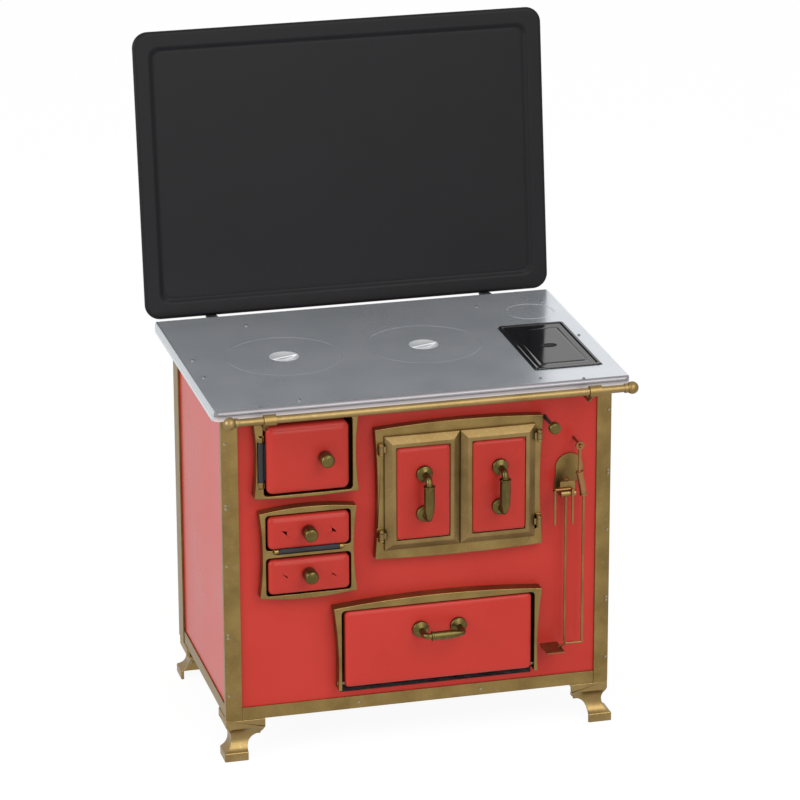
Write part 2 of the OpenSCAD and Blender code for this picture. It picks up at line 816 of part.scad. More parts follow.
// The damper: a plate on a long rod, pulled from the front by a knob
module damper_slide() {
    color(iron) from_front() {
        y_cyl(damper_x, -damper_knob_out, damper_z, damper_rod_d / 2,
            damper_plate_y0 + damper_knob_out + 30);
        translate([damper_x - 1.5, damper_plate_y0, damper_plate_z0])
            cube([3, damper_plate_l, damper_plate_h]);
    }
}
module damper_knob() {
    d = 27;
    edge_d = 22;
    l = 20;
    color(dark_brass) from_front()
        translate([damper_x, -damper_knob_out, damper_z]) rotate([90, 0, 0]) {
            cylinder(d = edge_d, h = l);
            translate([0, 0, 2]) cylinder(d = d, h = l - 4);
        }
}

// The oven box, open at the front, with two pairs of ledges for the rack
module oven_box() {
    w = oven_open_w;
    t = oven_wall;
    y0 = panel_y + sheet;
    color(iron) from_front() {
        translate([oven_cx - w / 2, y0, oven_open_z0]) difference() {
            translate([-t, 0, -t]) cube([w + 2 * t, oven_depth, oven_open_h + 2 * t]);
            translate([0, -1, 0]) cube([w, oven_depth - t + 1, oven_open_h]);
        }
        for (s = [-1, 1])
            translate([oven_cx + s * (w / 2 - 4) - 4.1, y0 + 10, rack_z - gap - 5])
                cube([8.2, oven_depth - 30, 5]);
    }
}

// The wire rack that slides on the oven's ledges
module oven_rack() {
    w = oven_open_w - 6;
    l = oven_depth - 86;
    wires = 11;
    color(steel) from_front() translate([oven_cx - w / 2, rack_y0, rack_z + 2]) {
        for (x = [2, w - 2]) rotate([-90, 0, 0]) translate([x, 0, 0]) cylinder(d = 4, h = l);
        for (y = [3, l - 3]) x_cyl(2, y, 0, 2, w - 4);
        for (i = [1:wires]) y_cyl(2 + i * (w - 4) / (wires + 1), 3, 0, 1.5, l - 6);
    }
}

// The firebox door's cast frame, with lugs for the hinge pin
module firebox_door_frame() {
    pin_z0 = barrel_z0 - pin_play - lug_h;
    pocket_x0 = fire_pin_x - barrel_r - gap;
    pocket_back = 14;
    color(brass) from_front() difference() {
        union() {
            upright(panel_y, fire_out + panel_y) difference() {
                translate([fire_cx, fire_z0 + fire_h / 2]) frame_outline(fire_w, fire_h, 7, 3, 4);
                translate([fire_open_x0, fire_open_z0]) round_rect(fire_open_w, fire_open_h, 9);
            }
            for (z = [pin_z0, barrel_z0 + barrel_h + pin_play])
                translate([fire_pin_x, -fire_pin_out, z]) cylinder(r = barrel_r - 0.5, h = lug_h);
        }
        translate([pocket_x0, -fire_out - 20, barrel_z0 - pin_play])
            cube([60, fire_out + 20 - pocket_back, barrel_h + 2 * pin_play]);
        translate([fire_pin_x, -fire_pin_out, pin_z0 - 1])
            cylinder(r = fire_pin_r + pin_fit, h = barrel_h + 2 * (lug_h + pin_play + 1));
    }
}
module firebox_door() {
    color(red) from_front() difference() {
        soft_door(fire_door_x0, fire_door_w, fire_door_z0, fire_door_h, fire_back, fire_face, 13, 12);
        translate([fire_door_x0 + 12, -fire_back - 14, fire_door_z0 + 12])
            cube([fire_door_w - 24, 20, fire_door_h - 24]);
    }
}
module firebox_door_barrel() {
    color(black) from_front() difference() {
        union() {
            translate([fire_pin_x, -fire_pin_out, barrel_z0]) cylinder(r = barrel_r, h = barrel_h);
            translate([fire_pin_x, -fire_pin_out + 2, barrel_z0 + 3])
                cube([fire_door_x0 - fire_pin_x, 4, barrel_h - 6]);
        }
        translate([fire_pin_x, -fire_pin_out, barrel_z0 - 1])
            cylinder(r = fire_pin_r + pin_fit, h = barrel_h + 2);
    }
}
module firebox_door_knob() {
    color(dark_brass) from_front()
        turned_knob(fire_door_x0 + fire_door_w - 57, fire_door_z0 + fire_door_h / 2 + 3, fire_face, knob_d);
}

// The frame that the air door and the ash drawer share
module small_door_frame() {
    barrel_x0 = small_cx - air_barrel_w / 2;
    lug_xs = [barrel_x0 - pin_play - air_lug_w, barrel_x0 + air_barrel_w + pin_play];
    pocket_back = 12;
    color(brass) from_front() difference() {
        union() {
            upright(panel_y, small_out + panel_y) difference() {
                translate([small_cx, small_z0 + small_h / 2]) frame_outline(small_w, small_h, 7.5, 9, 9);
                for (o = [[air_open_z0, air_open_h], [ash_open_z0, ash_open_h]])
                    translate([small_cx - small_open_w / 2, o[0]]) round_rect(small_open_w, o[1], 8);
            }
            for (x = lug_xs) x_cyl(x, -air_pin_out, air_pin_z, air_barrel_r - 0.4, air_lug_w);
        }
        translate([barrel_x0 - pin_play, -small_out - 20, air_pin_z - air_barrel_r - 1.5])
            cube([air_barrel_w + 2 * pin_play, 20 + small_out - pocket_back, 40]);
        x_cyl(lug_xs[0] - 1, -air_pin_out, air_pin_z, door_pin_r + pin_fit,
            air_barrel_w + 2 * (air_lug_w + pin_play + 1));
    }
}
module air_door() {
    color(red) from_front() soft_door(small_cx - small_door_w / 2, small_door_w,
        air_door_z0, air_door_h, small_back, small_face, 10, 9);
}
module air_door_barrel() {
    barrel_x0 = small_cx - air_barrel_w / 2;
    color(black) from_front() difference() {
        union() {
            x_cyl(barrel_x0, -air_pin_out, air_pin_z, air_barrel_r, air_barrel_w);
            translate([barrel_x0 + 5, -air_pin_out - 4, air_pin_z])
                cube([air_barrel_w - 10, 8, air_door_z0 - air_pin_z]);
        }
        x_cyl(barrel_x0 - 1, -air_pin_out, air_pin_z, door_pin_r + pin_fit, air_barrel_w + 2);
    }
}
module air_door_knob() {
    color(dark_brass) from_front()
        turned_knob(small_cx - 3, air_door_z0 + air_door_h / 2 + 3, small_face, knob_d);
}

// The oven's frame, with lugs for the leaves' pins at both sides
module oven_door_frame() {
    color(brass) from_front() difference() {
        union() {
            upright(panel_y, oven_out + panel_y) difference() {
                translate([oven_cx, oven_z0 + oven_h / 2]) frame_outline(oven_w, oven_h, 6.5, 8, 5);
                translate([oven_cx - oven_open_w / 2, oven_open_z0]) square([oven_open_w, oven_open_h]);
            }
            for (s = [-1, 1], z = knuckle_zs, k = [-1, 1]) {
                z0 = z + k * (knuckle_h / 2 + knuckle_gap + lug_t / 2) - lug_t / 2;
                translate([oven_cx + s * leaf_pin_dx, -leaf_pin_out, z0]) {
                    cylinder(r = knuckle_r, h = lug_t);
                    translate([-knuckle_r + (s < 0 ? 0 : 4), 0, 0])
                        cube([2 * knuckle_r - 4, leaf_pin_out - oven_out + 1, lug_t]);
                }
            }
        }
        for (s = [-1, 1])
            translate([oven_cx + s * leaf_pin_dx, -leaf_pin_out, oven_z0])
                cylinder(r = door_pin_r + pin_fit, h = oven_h);
    }
}

// An oven leaf's frame: mitred bevels, a pocket for the panel and two knuckles; s is -1 at left
module leaf_frame(s) {
    x_in = leaf_seam / 2;
    b = leaf_border;
    web_out = 26.5;
    web_t = 6.5;
    web_x0 = x_in + leaf_w - 6;
    translate([oven_cx, 0, 0]) mirror([s < 0 ? 1 : 0, 0, 0]) difference() {
        union() {
            intersection() {
                translate([x_in, 0, 0]) rotate([90, 0, 90]) linear_extrude(leaf_w) mirror([1, 0])
                    leaf_side(leaf_z0, leaf_h);
                translate([0, 0, leaf_z0]) linear_extrude(leaf_h) rotate(-90) leaf_side(x_in, leaf_w);
            }
            for (z = knuckle_zs) {
                translate([leaf_pin_dx, -leaf_pin_out, z - knuckle_h / 2])
                    cylinder(r = knuckle_r, h = knuckle_h);
                translate([web_x0, -web_out, z - knuckle_h / 2])
                    cube([leaf_pin_dx - web_x0, web_t, knuckle_h]);
            }
        }
        translate([x_in + b, 0, 0]) upright(-leaf_back + 1, 40)
            translate([0, leaf_z0 + b + 1]) square([leaf_w - 2 * b, leaf_h - 2 * b - 2]);
        translate([leaf_pin_dx, -leaf_pin_out, leaf_z0])
            cylinder(r = door_pin_r + pin_fit, h = leaf_h);
    }
}

// A leaf's bevelled section across a width w that starts at a
module leaf_side(a, w) {
    polygon([
        [leaf_back, a], [leaf_edge, a], [leaf_face, a + leaf_bevel],
        [leaf_face, a + w - leaf_bevel], [leaf_edge, a + w], [leaf_back, a + w]
    ]);
}
module left_leaf_frame() color(brass) from_front() leaf_frame(-1);
module right_leaf_frame() color(brass) from_front() leaf_frame(1);

// The enamelled panel inside a leaf's frame
module leaf_panel(s) {
    x0 = s < 0 ? -leaf_seam / 2 - leaf_w + leaf_border : leaf_seam / 2 + leaf_border;
    translate([oven_cx + x0, 0, 0]) upright(-leaf_back, leaf_panel_face - leaf_back)
        translate([0, leaf_z0 + leaf_border + 1])
            square([leaf_w - 2 * leaf_border, leaf_h - 2 * leaf_border - 2]);
}
module left_leaf_panel() color(red) from_front() leaf_panel(-1);
module right_leaf_panel() color(red) from_front() leaf_panel(1);

// An oven leaf's upright bail handle
module leaf_handle(s) {
    x = oven_cx + s * (leaf_seam + leaf_w) / 2;
    translate([x, -leaf_panel_face, leaf_z0 + leaf_h / 2]) rotate([0, 90, 0])
        bail_handle(94, 37, 15, 24, 46);
}
module left_leaf_handle() color(dark_brass) from_front() leaf_handle(-1);
module right_leaf_handle() color(dark_brass) from_front() leaf_handle(1);

// The wood compartment's frame: an arched top bar and two side bars, open at the bottom
module compartment_frame() {
    tall = 1.5 * comp_h;
    color(brass) from_front() difference() {
        upright(panel_y, comp_out + panel_y) difference() {
            translate([comp_cx, comp_z0 + comp_h - tall / 2]) frame_outline(comp_w, tall, 11, 12, 0);
            translate([comp_cx - comp_w, comp_z0 - comp_h]) square([2 * comp_w, comp_h]);
            translate([comp_cx - comp_open_w / 2, comp_open_z0]) round_rect(comp_open_w, comp_open_h, 9);
        }
        x_cyl(comp_cx - comp_w / 2 - 5, -flap_pin_out, flap_pin_z, flap_pin_r + pin_fit, comp_w + 10);
    }
}
module compartment_flap() {
    color(red) from_front() difference() {
        soft_door(comp_cx - flap_w / 2, flap_w, flap_z0, flap_h, flap_back, flap_face, 9, 8);
        x_cyl(comp_cx - flap_w / 2 - 1, -flap_pin_out, flap_pin_z, flap_pin_r + pin_fit, flap_w + 2);
    }
}
module compartment_handle() {
    color(dark_brass) from_front() translate([comp_cx, -flap_face, flap_z0 + 127])
        bail_handle(88, 38, 14, 20, 50);
}
module compartment_liner() {
    t = 2;
    y0 = panel_y + sheet;
    w = comp_open_w;
    color(zinc) from_front() translate([comp_cx - w / 2, y0, comp_open_z0]) difference() {
        translate([-t, 0, -t]) cube([w + 2 * t, liner_depth, comp_open_h + 2 * t]);
        translate([0, -1, 0]) cube([w, liner_depth - t + 1, comp_open_h]);
    }
}

// The plain round pins of every door, held in the frames' lugs
module hinge_pins() {
    color(steel) from_front() {
        translate([fire_pin_x, -fire_pin_out, barrel_z0 - lug_h])
            cylinder(r = fire_pin_r, h = barrel_h + 2 * lug_h);
        x_cyl(small_cx - air_barrel_w / 2 - air_lug_w, -air_pin_out, air_pin_z, door_pin_r,
            air_barrel_w + 2 * air_lug_w);
        for (s = [-1, 1], z = knuckle_zs)
            translate([oven_cx + s * leaf_pin_dx, -leaf_pin_out, z - knuckle_h / 2 - lug_t])
                cylinder(r = door_pin_r, h = knuckle_h + 2 * lug_t);
        x_cyl(comp_cx - comp_open_w / 2 - 4, -flap_pin_out, flap_pin_z, flap_pin_r, comp_open_w + 8);
    }
}

// The front rail with its turned ends: a collar, a groove and a ball with a tiny flat at its tip
module rail_bar() {
    color(brass) from_front()
        x_cyl(-rail_len / 2 + end_l, -rail_out, rail_z, rail_d / 2, rail_len - 2 * end_l);
}
module rail_ends() {
    color(brass) from_front() for (s = [-1, 1])
        translate([s * (rail_len / 2 - end_l), -rail_out, rail_z]) rotate([0, s * 90, 0])
            rotate_extrude() {
                square([collar_r, collar_l]);
                square([collar_r - end_groove, ball_x]);
                intersection() {
                    translate([0, ball_x]) circle(ball_r);
                    translate([0, collar_l + end_groove])
                        square([ball_r, end_l - collar_l - end_groove]);
                }
            }
}

// The two brackets: a flange, a bent arm and a ring round the rail
module rail_brackets() {
    arm_r = 5;
    elbow_r = 5.5;
    arm_z = top_z - 36;
    bend_run = 45;
    bend_rise = rail_z - arm_z;
    slope_l = norm([bend_run, bend_rise]) - rail_d / 2 - 1;
    elbow_y = bend_run - rail_out;
    ring_w = 28;
    flange_r = 7;
    flange_t = 3;
    color(brass) from_front() for (x = bracket_xs) {
        base_y = x < 0 ? -fire_out : panel_y;
        difference() {
            union() {
                x_cyl(x - ring_w / 2, -rail_out, rail_z, clamp_r, ring_w);
                translate([x, elbow_y, arm_z]) sphere(elbow_r);
                translate([x, elbow_y, arm_z]) rotate([atan2(bend_run, bend_rise), 0, 0])
                    cylinder(r = arm_r, h = slope_l);
                y_cyl(x, elbow_y, arm_z, arm_r, base_y - elbow_y);
                y_cyl(x, base_y - flange_t, arm_z, flange_r, flange_t);
            }
            x_cyl(x - ring_w / 2 - 1, -rail_out, rail_z, rail_d / 2 + pin_fit, ring_w + 2);
        }
    }
}

// The tool rack: a round-topped plate on the panel, a narrower shelf with a rolled lip and a low
// front wall behind the lip, and a peg
module tool_rack() {
    x0 = rack_cx - rack_w / 2;
    plate_t = 5;
    shelf_t = 4;
    wall_t = 3;
    wall_h = 34;
    wall_out = rack_out - tool_rod_d / 2 - gap;
    color(brass) from_front() difference() {
        union() {
            upright(panel_y, plate_t) {
                translate([x0, rack_z0]) square([rack_w, rack_head_z0 - rack_z0 + 10]);
                translate([rack_head_cx - rack_head_r, rack_head_z0])
                    square([2 * rack_head_r, rack_z1 - rack_head_r - rack_head_z0]);
                translate([rack_head_cx, rack_z1 - rack_head_r]) circle(rack_head_r);
            }
            translate([x0, -rack_out, rack_z0]) cube([rack_w, rack_out + panel_y, shelf_t]);
            x_cyl(x0, -rack_out, rack_z0 + lip_r, lip_r, rack_w);
            translate([x0, -wall_out, rack_z0]) cube([rack_w, wall_t, wall_h]);
            y_cyl(peg_x, -rod_out - 10, peg_z, peg_r, rod_out + 10 + panel_y);
        }
        translate([poker_x, -poker_out, rack_z0 - 1]) cylinder(d = tool_rod_d + 3, h = shelf_t + 4);
    }
}

// The poker, standing through a hole in the rack's shelf
module poker() {
    tip_h = 12;
    rod_z0 = top_z - 622;
    rod_l = 380;
    grip_d = 14;
    grip_l = 34;
    color(brass) from_front() translate([poker_x, -poker_out, 0]) {
        translate([0, 0, rod_z0]) cylinder(d = tool_rod_d, h = rod_l);
        translate([0, 0, rod_z0 - tip_h]) cylinder(d1 = 1.5, d2 = tool_rod_d, h = tip_h + e);
        translate([0, 0, rack_z0 + 4 + gap]) cylinder(d = grip_d, h = grip_l);
    }
}

// The ash scraper: an eye on the peg, a leaning grip, a long rod with a bent foot and a flat blade
module ash_scraper() {
    r = tool_rod_d / 2;
    y = -rod_out;
    foot_z = top_z - 628;
    grip_z = top_z - 270;
    grip_z1 = top_z - 217;
    grip_d = 15;
    collar_d = 18;
    collar_h = 4;
    neck_d = 8;
    lean = atan2(scraper_x - peg_x, grip_z1 - grip_z);
    grip_l = norm([scraper_x - peg_x, grip_z1 - grip_z]);
    ring_r = 4.8;
    ring_w = 5;
    ring_t = 6;
    ring_z = peg_z - ring_r + peg_r + gap / 2;
    foot_x = rack_cx - 3;
    blade_x = comp_cx + comp_w / 2 + 1;
    blade_w = 42;
    blade_l = 62;
    blade_t = 3;
    blade_z = foot_z - 16;
    blade_in = 5;
    dip = 1;
    shank_d = 2 * r - 0.6;
    color(brass) from_front() {
        translate([scraper_x, y, foot_z]) cylinder(r = r, h = grip_z - foot_z);
        translate([scraper_x, y, grip_z]) rotate([0, -lean, 0]) {
            translate([0, 0, -collar_h / 2]) cylinder(d = collar_d, h = collar_h);
            cylinder(d = grip_d, h = grip_l);
            translate([0, 0, grip_l - collar_h / 2]) cylinder(d = collar_d, h = collar_h);
        }
        translate([peg_x, y, grip_z1]) cylinder(d = neck_d, h = ring_z - ring_t - grip_z1);
        translate([peg_x, y + ring_t / 2, ring_z]) rotate([90, 0, 0]) difference() {
            cylinder(r = ring_r + ring_w, h = ring_t);
            translate([0, 0, -1]) cylinder(r = ring_r, h = ring_t + 2);
        }
        translate([scraper_x, y, foot_z]) sphere(r = r);
        x_cyl(foot_x, y, foot_z, r, scraper_x - foot_x);
        round_bar(foot_x + 2, y, foot_z, blade_x + blade_w - blade_in, y + 12, blade_z + blade_t + dip,
            shank_d);
        translate([blade_x, y - 17, blade_z]) cube([blade_w, blade_l, blade_t]);
    }
}

// The lid lifter: a bar that lies on the rack's lip and two prongs that hang in front of it
module lid_lifter() {
    r = tool_rod_d / 2;
    bar_z = rack_z0 + 2 * lip_r + r + gap;
    prong_out = rack_out + lip_r + r + 0.5;
    prong_z0 = top_z - 333;
    mid_x = rack_cx - 12.5;
    color(brass) from_front() {
        x_cyl(mid_x - prong_pitch / 2, -rack_out, bar_z, r, prong_pitch);
        for (s = [-1, 1]) {
            x = mid_x + s * prong_pitch / 2;
            round_bar(x, -rack_out, bar_z, x, -prong_out, bar_z, 2 * r);
            translate([x, -prong_out, prong_z0]) {
                cylinder(r = r, h = bar_z - prong_z0);
                sphere(r = r);
            }
        }
    }
}

// Places the lid's own frame: the hinge axis along X at its origin, the lid standing up along Z
module lid_place() from_front() translate([0, axis_y, axis_z]) rotate([-lid_lean, 0, 0]) children();

// A flat outline of the lid, drawn in from its edge by the given inset
module lid_outline(inset, r) {
    translate([-lid_w / 2 + inset, lid_low + inset])
        round_rect(lid_w - 2 * inset, lid_len - 2 * inset, r);
}

// The lid's pressed shell, as three thin forms with a small gap between them: a back skin, a wall
// all round and a flange that turns in at the front
module lid_shell() {
    back = lid_off + lid_t;
    wall_d = lid_t - 2 * (lid_skin + gap);
    color(black) lid_place() {
        upright(back, lid_skin) lid_outline(0, lid_r);
        upright(back - lid_skin - gap, wall_d) difference() {
            lid_outline(0, lid_r);
            lid_outline(lid_skin, lid_r - lid_skin);
        }
        upright(lid_off + lid_skin, lid_skin) difference() {
            lid_outline(0, lid_r);
            lid_outline(lid_border, lid_inner_r);
        }
    }
}

// The lid's inner panel, whose edge lies behind the shell's flange
module lid_liner() {
    color(black) lid_place() upright(lid_off + 2 * lid_skin, lid_skin)
        lid_outline(lid_border - liner_lap, lid_r - 8);
}

// The lid's two hinge leaves: an eye, a strap under the lid's edge and a leg up its back
module lid_hinge_leaves() {
    back = lid_off + lid_t;
    strap_t = 4;
    color(iron) lid_place() for (s = [-1, 1]) difference() {
        translate([s * hinge_x - leaf_strap_w / 2, 0, 0]) {
            x_cyl(0, 0, 0, knuckle_eye, leaf_strap_w);
            translate([0, 0, lid_low - strap_t]) cube([leaf_strap_w, back + 3, strap_t]);
            translate([0, back, lid_low - strap_t]) cube([leaf_strap_w, 3, 60]);
        }
        x_cyl(s * hinge_x - leaf_strap_w / 2 - 1, 0, 0, lid_pin_r + pin_fit, leaf_strap_w + 2);
    }
}

// The two lid brackets: a foot on the back sheet, an arm under the cooktop's rim, two eyes for
// the pin and a stop that the open lid's strap leans on
module lid_brackets() {
    w = leaf_strap_w + 2 * gap + 2 * ear_w;
    arm_z = rim_z - 12;
    arm_t = 8;
    stop_y = lid_off + 2;
    post_w2 = knuckle_eye - 1;
    color(iron) for (s = [-1, 1]) difference() {
        union() {
            lid_place() translate([s * hinge_x, 0, 0]) {
                for (k = [-1, 1]) x_cyl(k * (leaf_strap_w + ear_w) / 2 + k * gap - ear_w / 2,
                    0, 0, knuckle_eye, ear_w);
                translate([-leaf_strap_w / 2, stop_y, -14]) cube([leaf_strap_w, 10, 14.7]);
            }
            from_front() translate([s * hinge_x - w / 2, 0, 0]) {
                for (x = [0, w - ear_w]) translate([x, axis_y - post_w2, arm_z])
                    cube([ear_w, 2 * post_w2, axis_z - arm_z]);
                translate([0, cab_d - post_t, arm_z])
                    cube([w, axis_y + stop_y + 8 - cab_d + post_t, arm_t]);
                translate([0, cab_d - post_t, arm_z - 32]) cube([w, 6, 36]);
            }
        }
        lid_place() x_cyl(s * hinge_x - w / 2 - 1, 0, 0, lid_pin_r + pin_fit, w + 2);
    }
}
module lid_pins() {
    w = leaf_strap_w + 2 * gap + 2 * ear_w;
    color(steel) lid_place() for (s = [-1, 1])
        x_cyl(s * hinge_x - w / 2 - 2, 0, 0, lid_pin_r, w + 4);
}

// One low round screw head
module screw_head() {
    cylinder(d = screw_d, h = screw_h * 0.6);
    cylinder(d = screw_d * 0.7, h = screw_h);
}

// Every visible screw head on the posts, the base rail and the cooktop
module screws() {
    post_zs = [757, 613, 605, 469, 305, 297, 157];
    color(steel) from_front() {
        for (s = [-1, 1], z = post_zs)
            translate([s * (post_x - corner_w / 2), corner_d / 2, z])
                rotate([90, 0, s * atan2(corner_d, corner_w)]) screw_head();
        for (x = [-143, 143])
            translate([x, 1, foot_h + rail_h / 2]) rotate([90, 0, 0]) screw_head();
        for (p = [[-275, 517], [275, 517], [433, 512], [-445, 308], [-445, 188], [444, 253],
                  [-367, -37], [367, -37], [-274, -13], [274, -13]])
            translate([p[0], p[1], top_z]) screw_head();
    }
}

front_panel();
left_side_panel();
right_side_panel();
back_panel();
front_posts();
back_posts();
base_rails();
top_rails();
bottom_pan();
feet();
cooktop_plate();
left_hotplate();
right_hotplate();
flue_cover();
water_tank();
tank_lid();
firebox_casing();
firebricks();
fire_grate();
ash_drawer_box();
ash_drawer_front();
ash_drawer_knob();
smoke_casing();
damper_slide();
damper_knob();
oven_box();
oven_rack();
firebox_door_frame();
firebox_door();
firebox_door_barrel();
firebox_door_knob();
small_door_frame();
air_door();
air_door_barrel();
air_door_knob();
oven_door_frame();
left_leaf_frame();
left_leaf_panel();
left_leaf_handle();
right_leaf_frame();
right_leaf_panel();
right_leaf_handle();
compartment_frame();
compartment_flap();
compartment_handle();
compartment_liner();
hinge_pins();
rail_bar();
rail_ends();
rail_brackets();
tool_rack();
poker();
ash_scraper();
lid_lifter();
lid_shell();
lid_liner();
lid_hinge_leaves();
lid_brackets();
lid_pins();
screws();
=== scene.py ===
import math
import bmesh
import bpy
from mathutils import Matrix, Vector


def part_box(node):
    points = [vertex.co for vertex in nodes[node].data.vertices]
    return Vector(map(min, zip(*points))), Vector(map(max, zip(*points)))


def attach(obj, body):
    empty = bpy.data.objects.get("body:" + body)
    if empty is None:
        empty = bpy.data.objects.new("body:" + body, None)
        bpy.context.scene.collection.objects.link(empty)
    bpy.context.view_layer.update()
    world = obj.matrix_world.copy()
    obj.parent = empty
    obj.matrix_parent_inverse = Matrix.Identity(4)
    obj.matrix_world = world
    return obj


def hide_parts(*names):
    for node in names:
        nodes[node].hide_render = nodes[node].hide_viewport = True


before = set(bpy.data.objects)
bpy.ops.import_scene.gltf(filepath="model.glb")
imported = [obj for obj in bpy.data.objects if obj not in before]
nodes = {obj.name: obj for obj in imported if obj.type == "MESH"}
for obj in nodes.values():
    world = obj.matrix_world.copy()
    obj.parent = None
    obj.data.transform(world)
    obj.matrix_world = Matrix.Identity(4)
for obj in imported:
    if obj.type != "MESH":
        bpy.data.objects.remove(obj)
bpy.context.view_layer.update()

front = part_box("front_posts")[0].y
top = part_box("cooktop_plate")[1].z


# The four cast feet carry the corner posts. Each is a hollow brass-coloured casting with a flat
# pad, a waist and a shoulder, its edges eased by hand filing before it was lacquered.

class Wire:
    """One output of a shader node. Sums and products of wires become Math nodes."""

    def __init__(self, finish, socket):
        self.finish, self.socket = finish, socket

    def maths(self, operation, *terms):
        return self.finish.node("Math", {"operation": operation}, dict(enumerate(terms)))

    def __add__(self, other):
        return self.maths("ADD", self, other)

    def __sub__(self, other):
        return self.maths("SUBTRACT", self, other)

    def __rsub__(self, other):
        return self.maths("SUBTRACT", other, self)

    def __mul__(self, other):
        return self.maths("MULTIPLY", self, other)

    __radd__, __rmul__ = __add__, __mul__


class Finish:
    """One material, patterned on Object coordinates, which are the stove's own metres."""

    def __init__(self, name):
        self.material = bpy.data.materials.new(name)
        self.material.use_nodes = True
        self.tree = self.material.node_tree
        self.tree.nodes.clear()
        self.place = self.node("TexCoord", out="Object")

    def node(self, kind, settings=None, sockets=None, out=0):
        made = self.tree.nodes.new("ShaderNode" + kind)
        for key, value in (settings or {}).items():
            if key == "stops":
                ramp = made.color_ramp
                ramp.elements[0].position, ramp.elements[0].color = value[0]
                ramp.elements[1].position, ramp.elements[1].color = value[-1]
                for position, colour in value[1:-1]:
                    ramp.elements.new(position).color = colour
            else:
                setattr(made, key, value)
        for key, value in (sockets or {}).items():
            if isinstance(value, Wire):
                self.tree.links.new(value.socket, made.inputs[key])
            else:
                made.inputs[key].default_value = value
        return Wire(self, made.outputs[out])

    def noise(self, scale, detail=3, stretch=(1, 1, 1)):
        where = self.place
        if stretch != (1, 1, 1):
            where = self.node("Mapping", None, {"Vector": self.place, "Scale": stretch})
        return self.node("TexNoise", None, {"Vector": where, "Scale": scale, "Detail": detail})

    def blend(self, amount, low, high):
        return self.node("Mix", {"data_type": "RGBA", "clamp_factor": True},
                         {0: amount, 6: low, 7: high}, out=2)

    def spread(self, value, low, high):
        """Maps a span of values onto 0 to 1, and turns it over where low is above high."""
        return self.node("MapRange", None, {0: value, 1: low, 2: high, 3: 0.0, 4: 1.0})

    def relief(self, height, depth, strength=1.0):
        return self.node("Bump", None, {"Height": height, "Distance": depth, "Strength": strength})

    def surface(self, **sockets):
        names = {key.replace("_", " "): value for key, value in sockets.items()}
        shader = self.node("BsdfPrincipled", None, names)
        self.node_output(shader)
        return self.material

    def node_output(self, shader):
        out = self.tree.nodes.new("ShaderNodeOutputMaterial")
        self.tree.links.new(shader.socket, out.inputs["Surface"])


def tint(red, green, blue):
    """A colour read off a picture, 0 to 255, as the light that a shader works with."""
    return tuple((v / 255 / 12.92 if v < 10.3 else ((v / 255 + 0.055) / 1.055) ** 2.4)
                 for v in (red, green, blue)) + (1.0,)


def lacquered_brass(name, light, shade, shine=0.36):
    """Cast brass with a dull patina in clouds, a faint casting skin and small rubbed specks."""
    f = Finish(name)
    cloud = f.spread(f.noise(16, 4), 0.35, 0.65)
    skin = f.noise(700, 2)
    speck = f.spread(f.noise(160, 3), 0.55, 0.75)
    colour = f.blend(cloud, shade, light)
    colour = f.blend(speck * 0.25, colour, tint(166, 142, 96))
    return f.surface(Base_Color=colour, Metallic=1.0, Roughness=shine + cloud * 0.08 - speck * 0.05,
                     Normal=f.relief(skin, 0.0002, 0.25))


def dress(node, finish):
    """Gives a CAD node a finish in place of its plain one."""
    mesh = nodes[node].data
    mesh.materials.clear()
    mesh.materials.append(finish)


def cad_copy(*names):
    """A merged copy of CAD meshes, with the triangles of each flat face joined again."""
    bm = bmesh.new()
    for name in names:
        bm.from_mesh(nodes[name].data)
    bmesh.ops.remove_doubles(bm, verts=bm.verts, dist=2e-6)
    bmesh.ops.dissolve_degenerate(bm, edges=bm.edges, dist=1e-6)
    bmesh.ops.dissolve_limit(bm, angle_limit=0.004, verts=bm.verts, edges=bm.edges)
    return bm


def ease(bm, width, where=None, segments=3, turn=math.radians(28)):
    """Rounds the edges that turn by more than the angle, all of them or those that where picks."""
    picked = [e for e in bm.edges if len(e.link_faces) == 2 and e.calc_face_angle(0) > turn
              and (where is None or where(e))]
    bmesh.ops.bevel(bm, geom=picked, offset=width, segments=segments, affect="EDGES",
                    profile=0.5, material=-1, clamp_overlap=False, loop_slide=True)


def finished(name, bm, finish, body, slot, *replaced, crisp=math.radians(32), weld=1e-6):
    """Closes a bmesh into a smooth-shaded piece that rides on its body and stands for its nodes."""
    bmesh.ops.remove_doubles(bm, verts=bm.verts, dist=weld)
    bmesh.ops.recalc_face_normals(bm, faces=bm.faces)
    for face in bm.faces:
        face.smooth = True
    for edge in bm.edges:
        edge.smooth = len(edge.link_faces) == 2 and edge.calc_face_angle(0) < crisp
    mesh = bpy.data.meshes.new(name)
    bm.to_mesh(mesh)
    bm.free()
    mesh.materials.append(finish)
    piece = bpy.data.objects.new(name, mesh)
    bpy.context.scene.collection.objects.link(piece)
    even = piece.modifiers.new("even_shading", "WEIGHTED_NORMAL")
    even.keep_sharp = True
    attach(piece, body)
    if replaced:
        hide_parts(*replaced)


brass = lacquered_brass("lacquered_brass", tint(140, 117, 71), tint(122, 100, 59))
# The feet get a lighter copy of the lacquered brass: painted light on the feet.
foot_brass_lit = lacquered_brass("foot_brass_lit", tint(150, 127, 82), tint(134, 111, 70), 0.36)
bm = cad_copy("feet")
ease(bm, 0.0018)
finished("cast_feet", bm, foot_brass_lit, "stove", "aged_brass", "feet")


# Four pressed corner posts stand on the feet, tied together by base rails at the front, back and
# sides. They are brass-coloured sheet, folded, with crisp chamfers and slightly broken edges.

bm = cad_copy("front_posts")
ease(bm, 0.0007, segments=2)
finished("front_corner_posts", bm, brass, "stove", "aged_brass", "front_posts")
bm = cad_copy("back_posts")
ease(bm, 0.0007, segments=2)
finished("back_corner_posts", bm, brass, "stove", "aged_brass", "back_posts")
bm = cad_copy("base_rails")
ease(bm, 0.0008, segments=2)
finished("base_rail_set", bm, brass, "stove", "aged_brass", "base_rails")


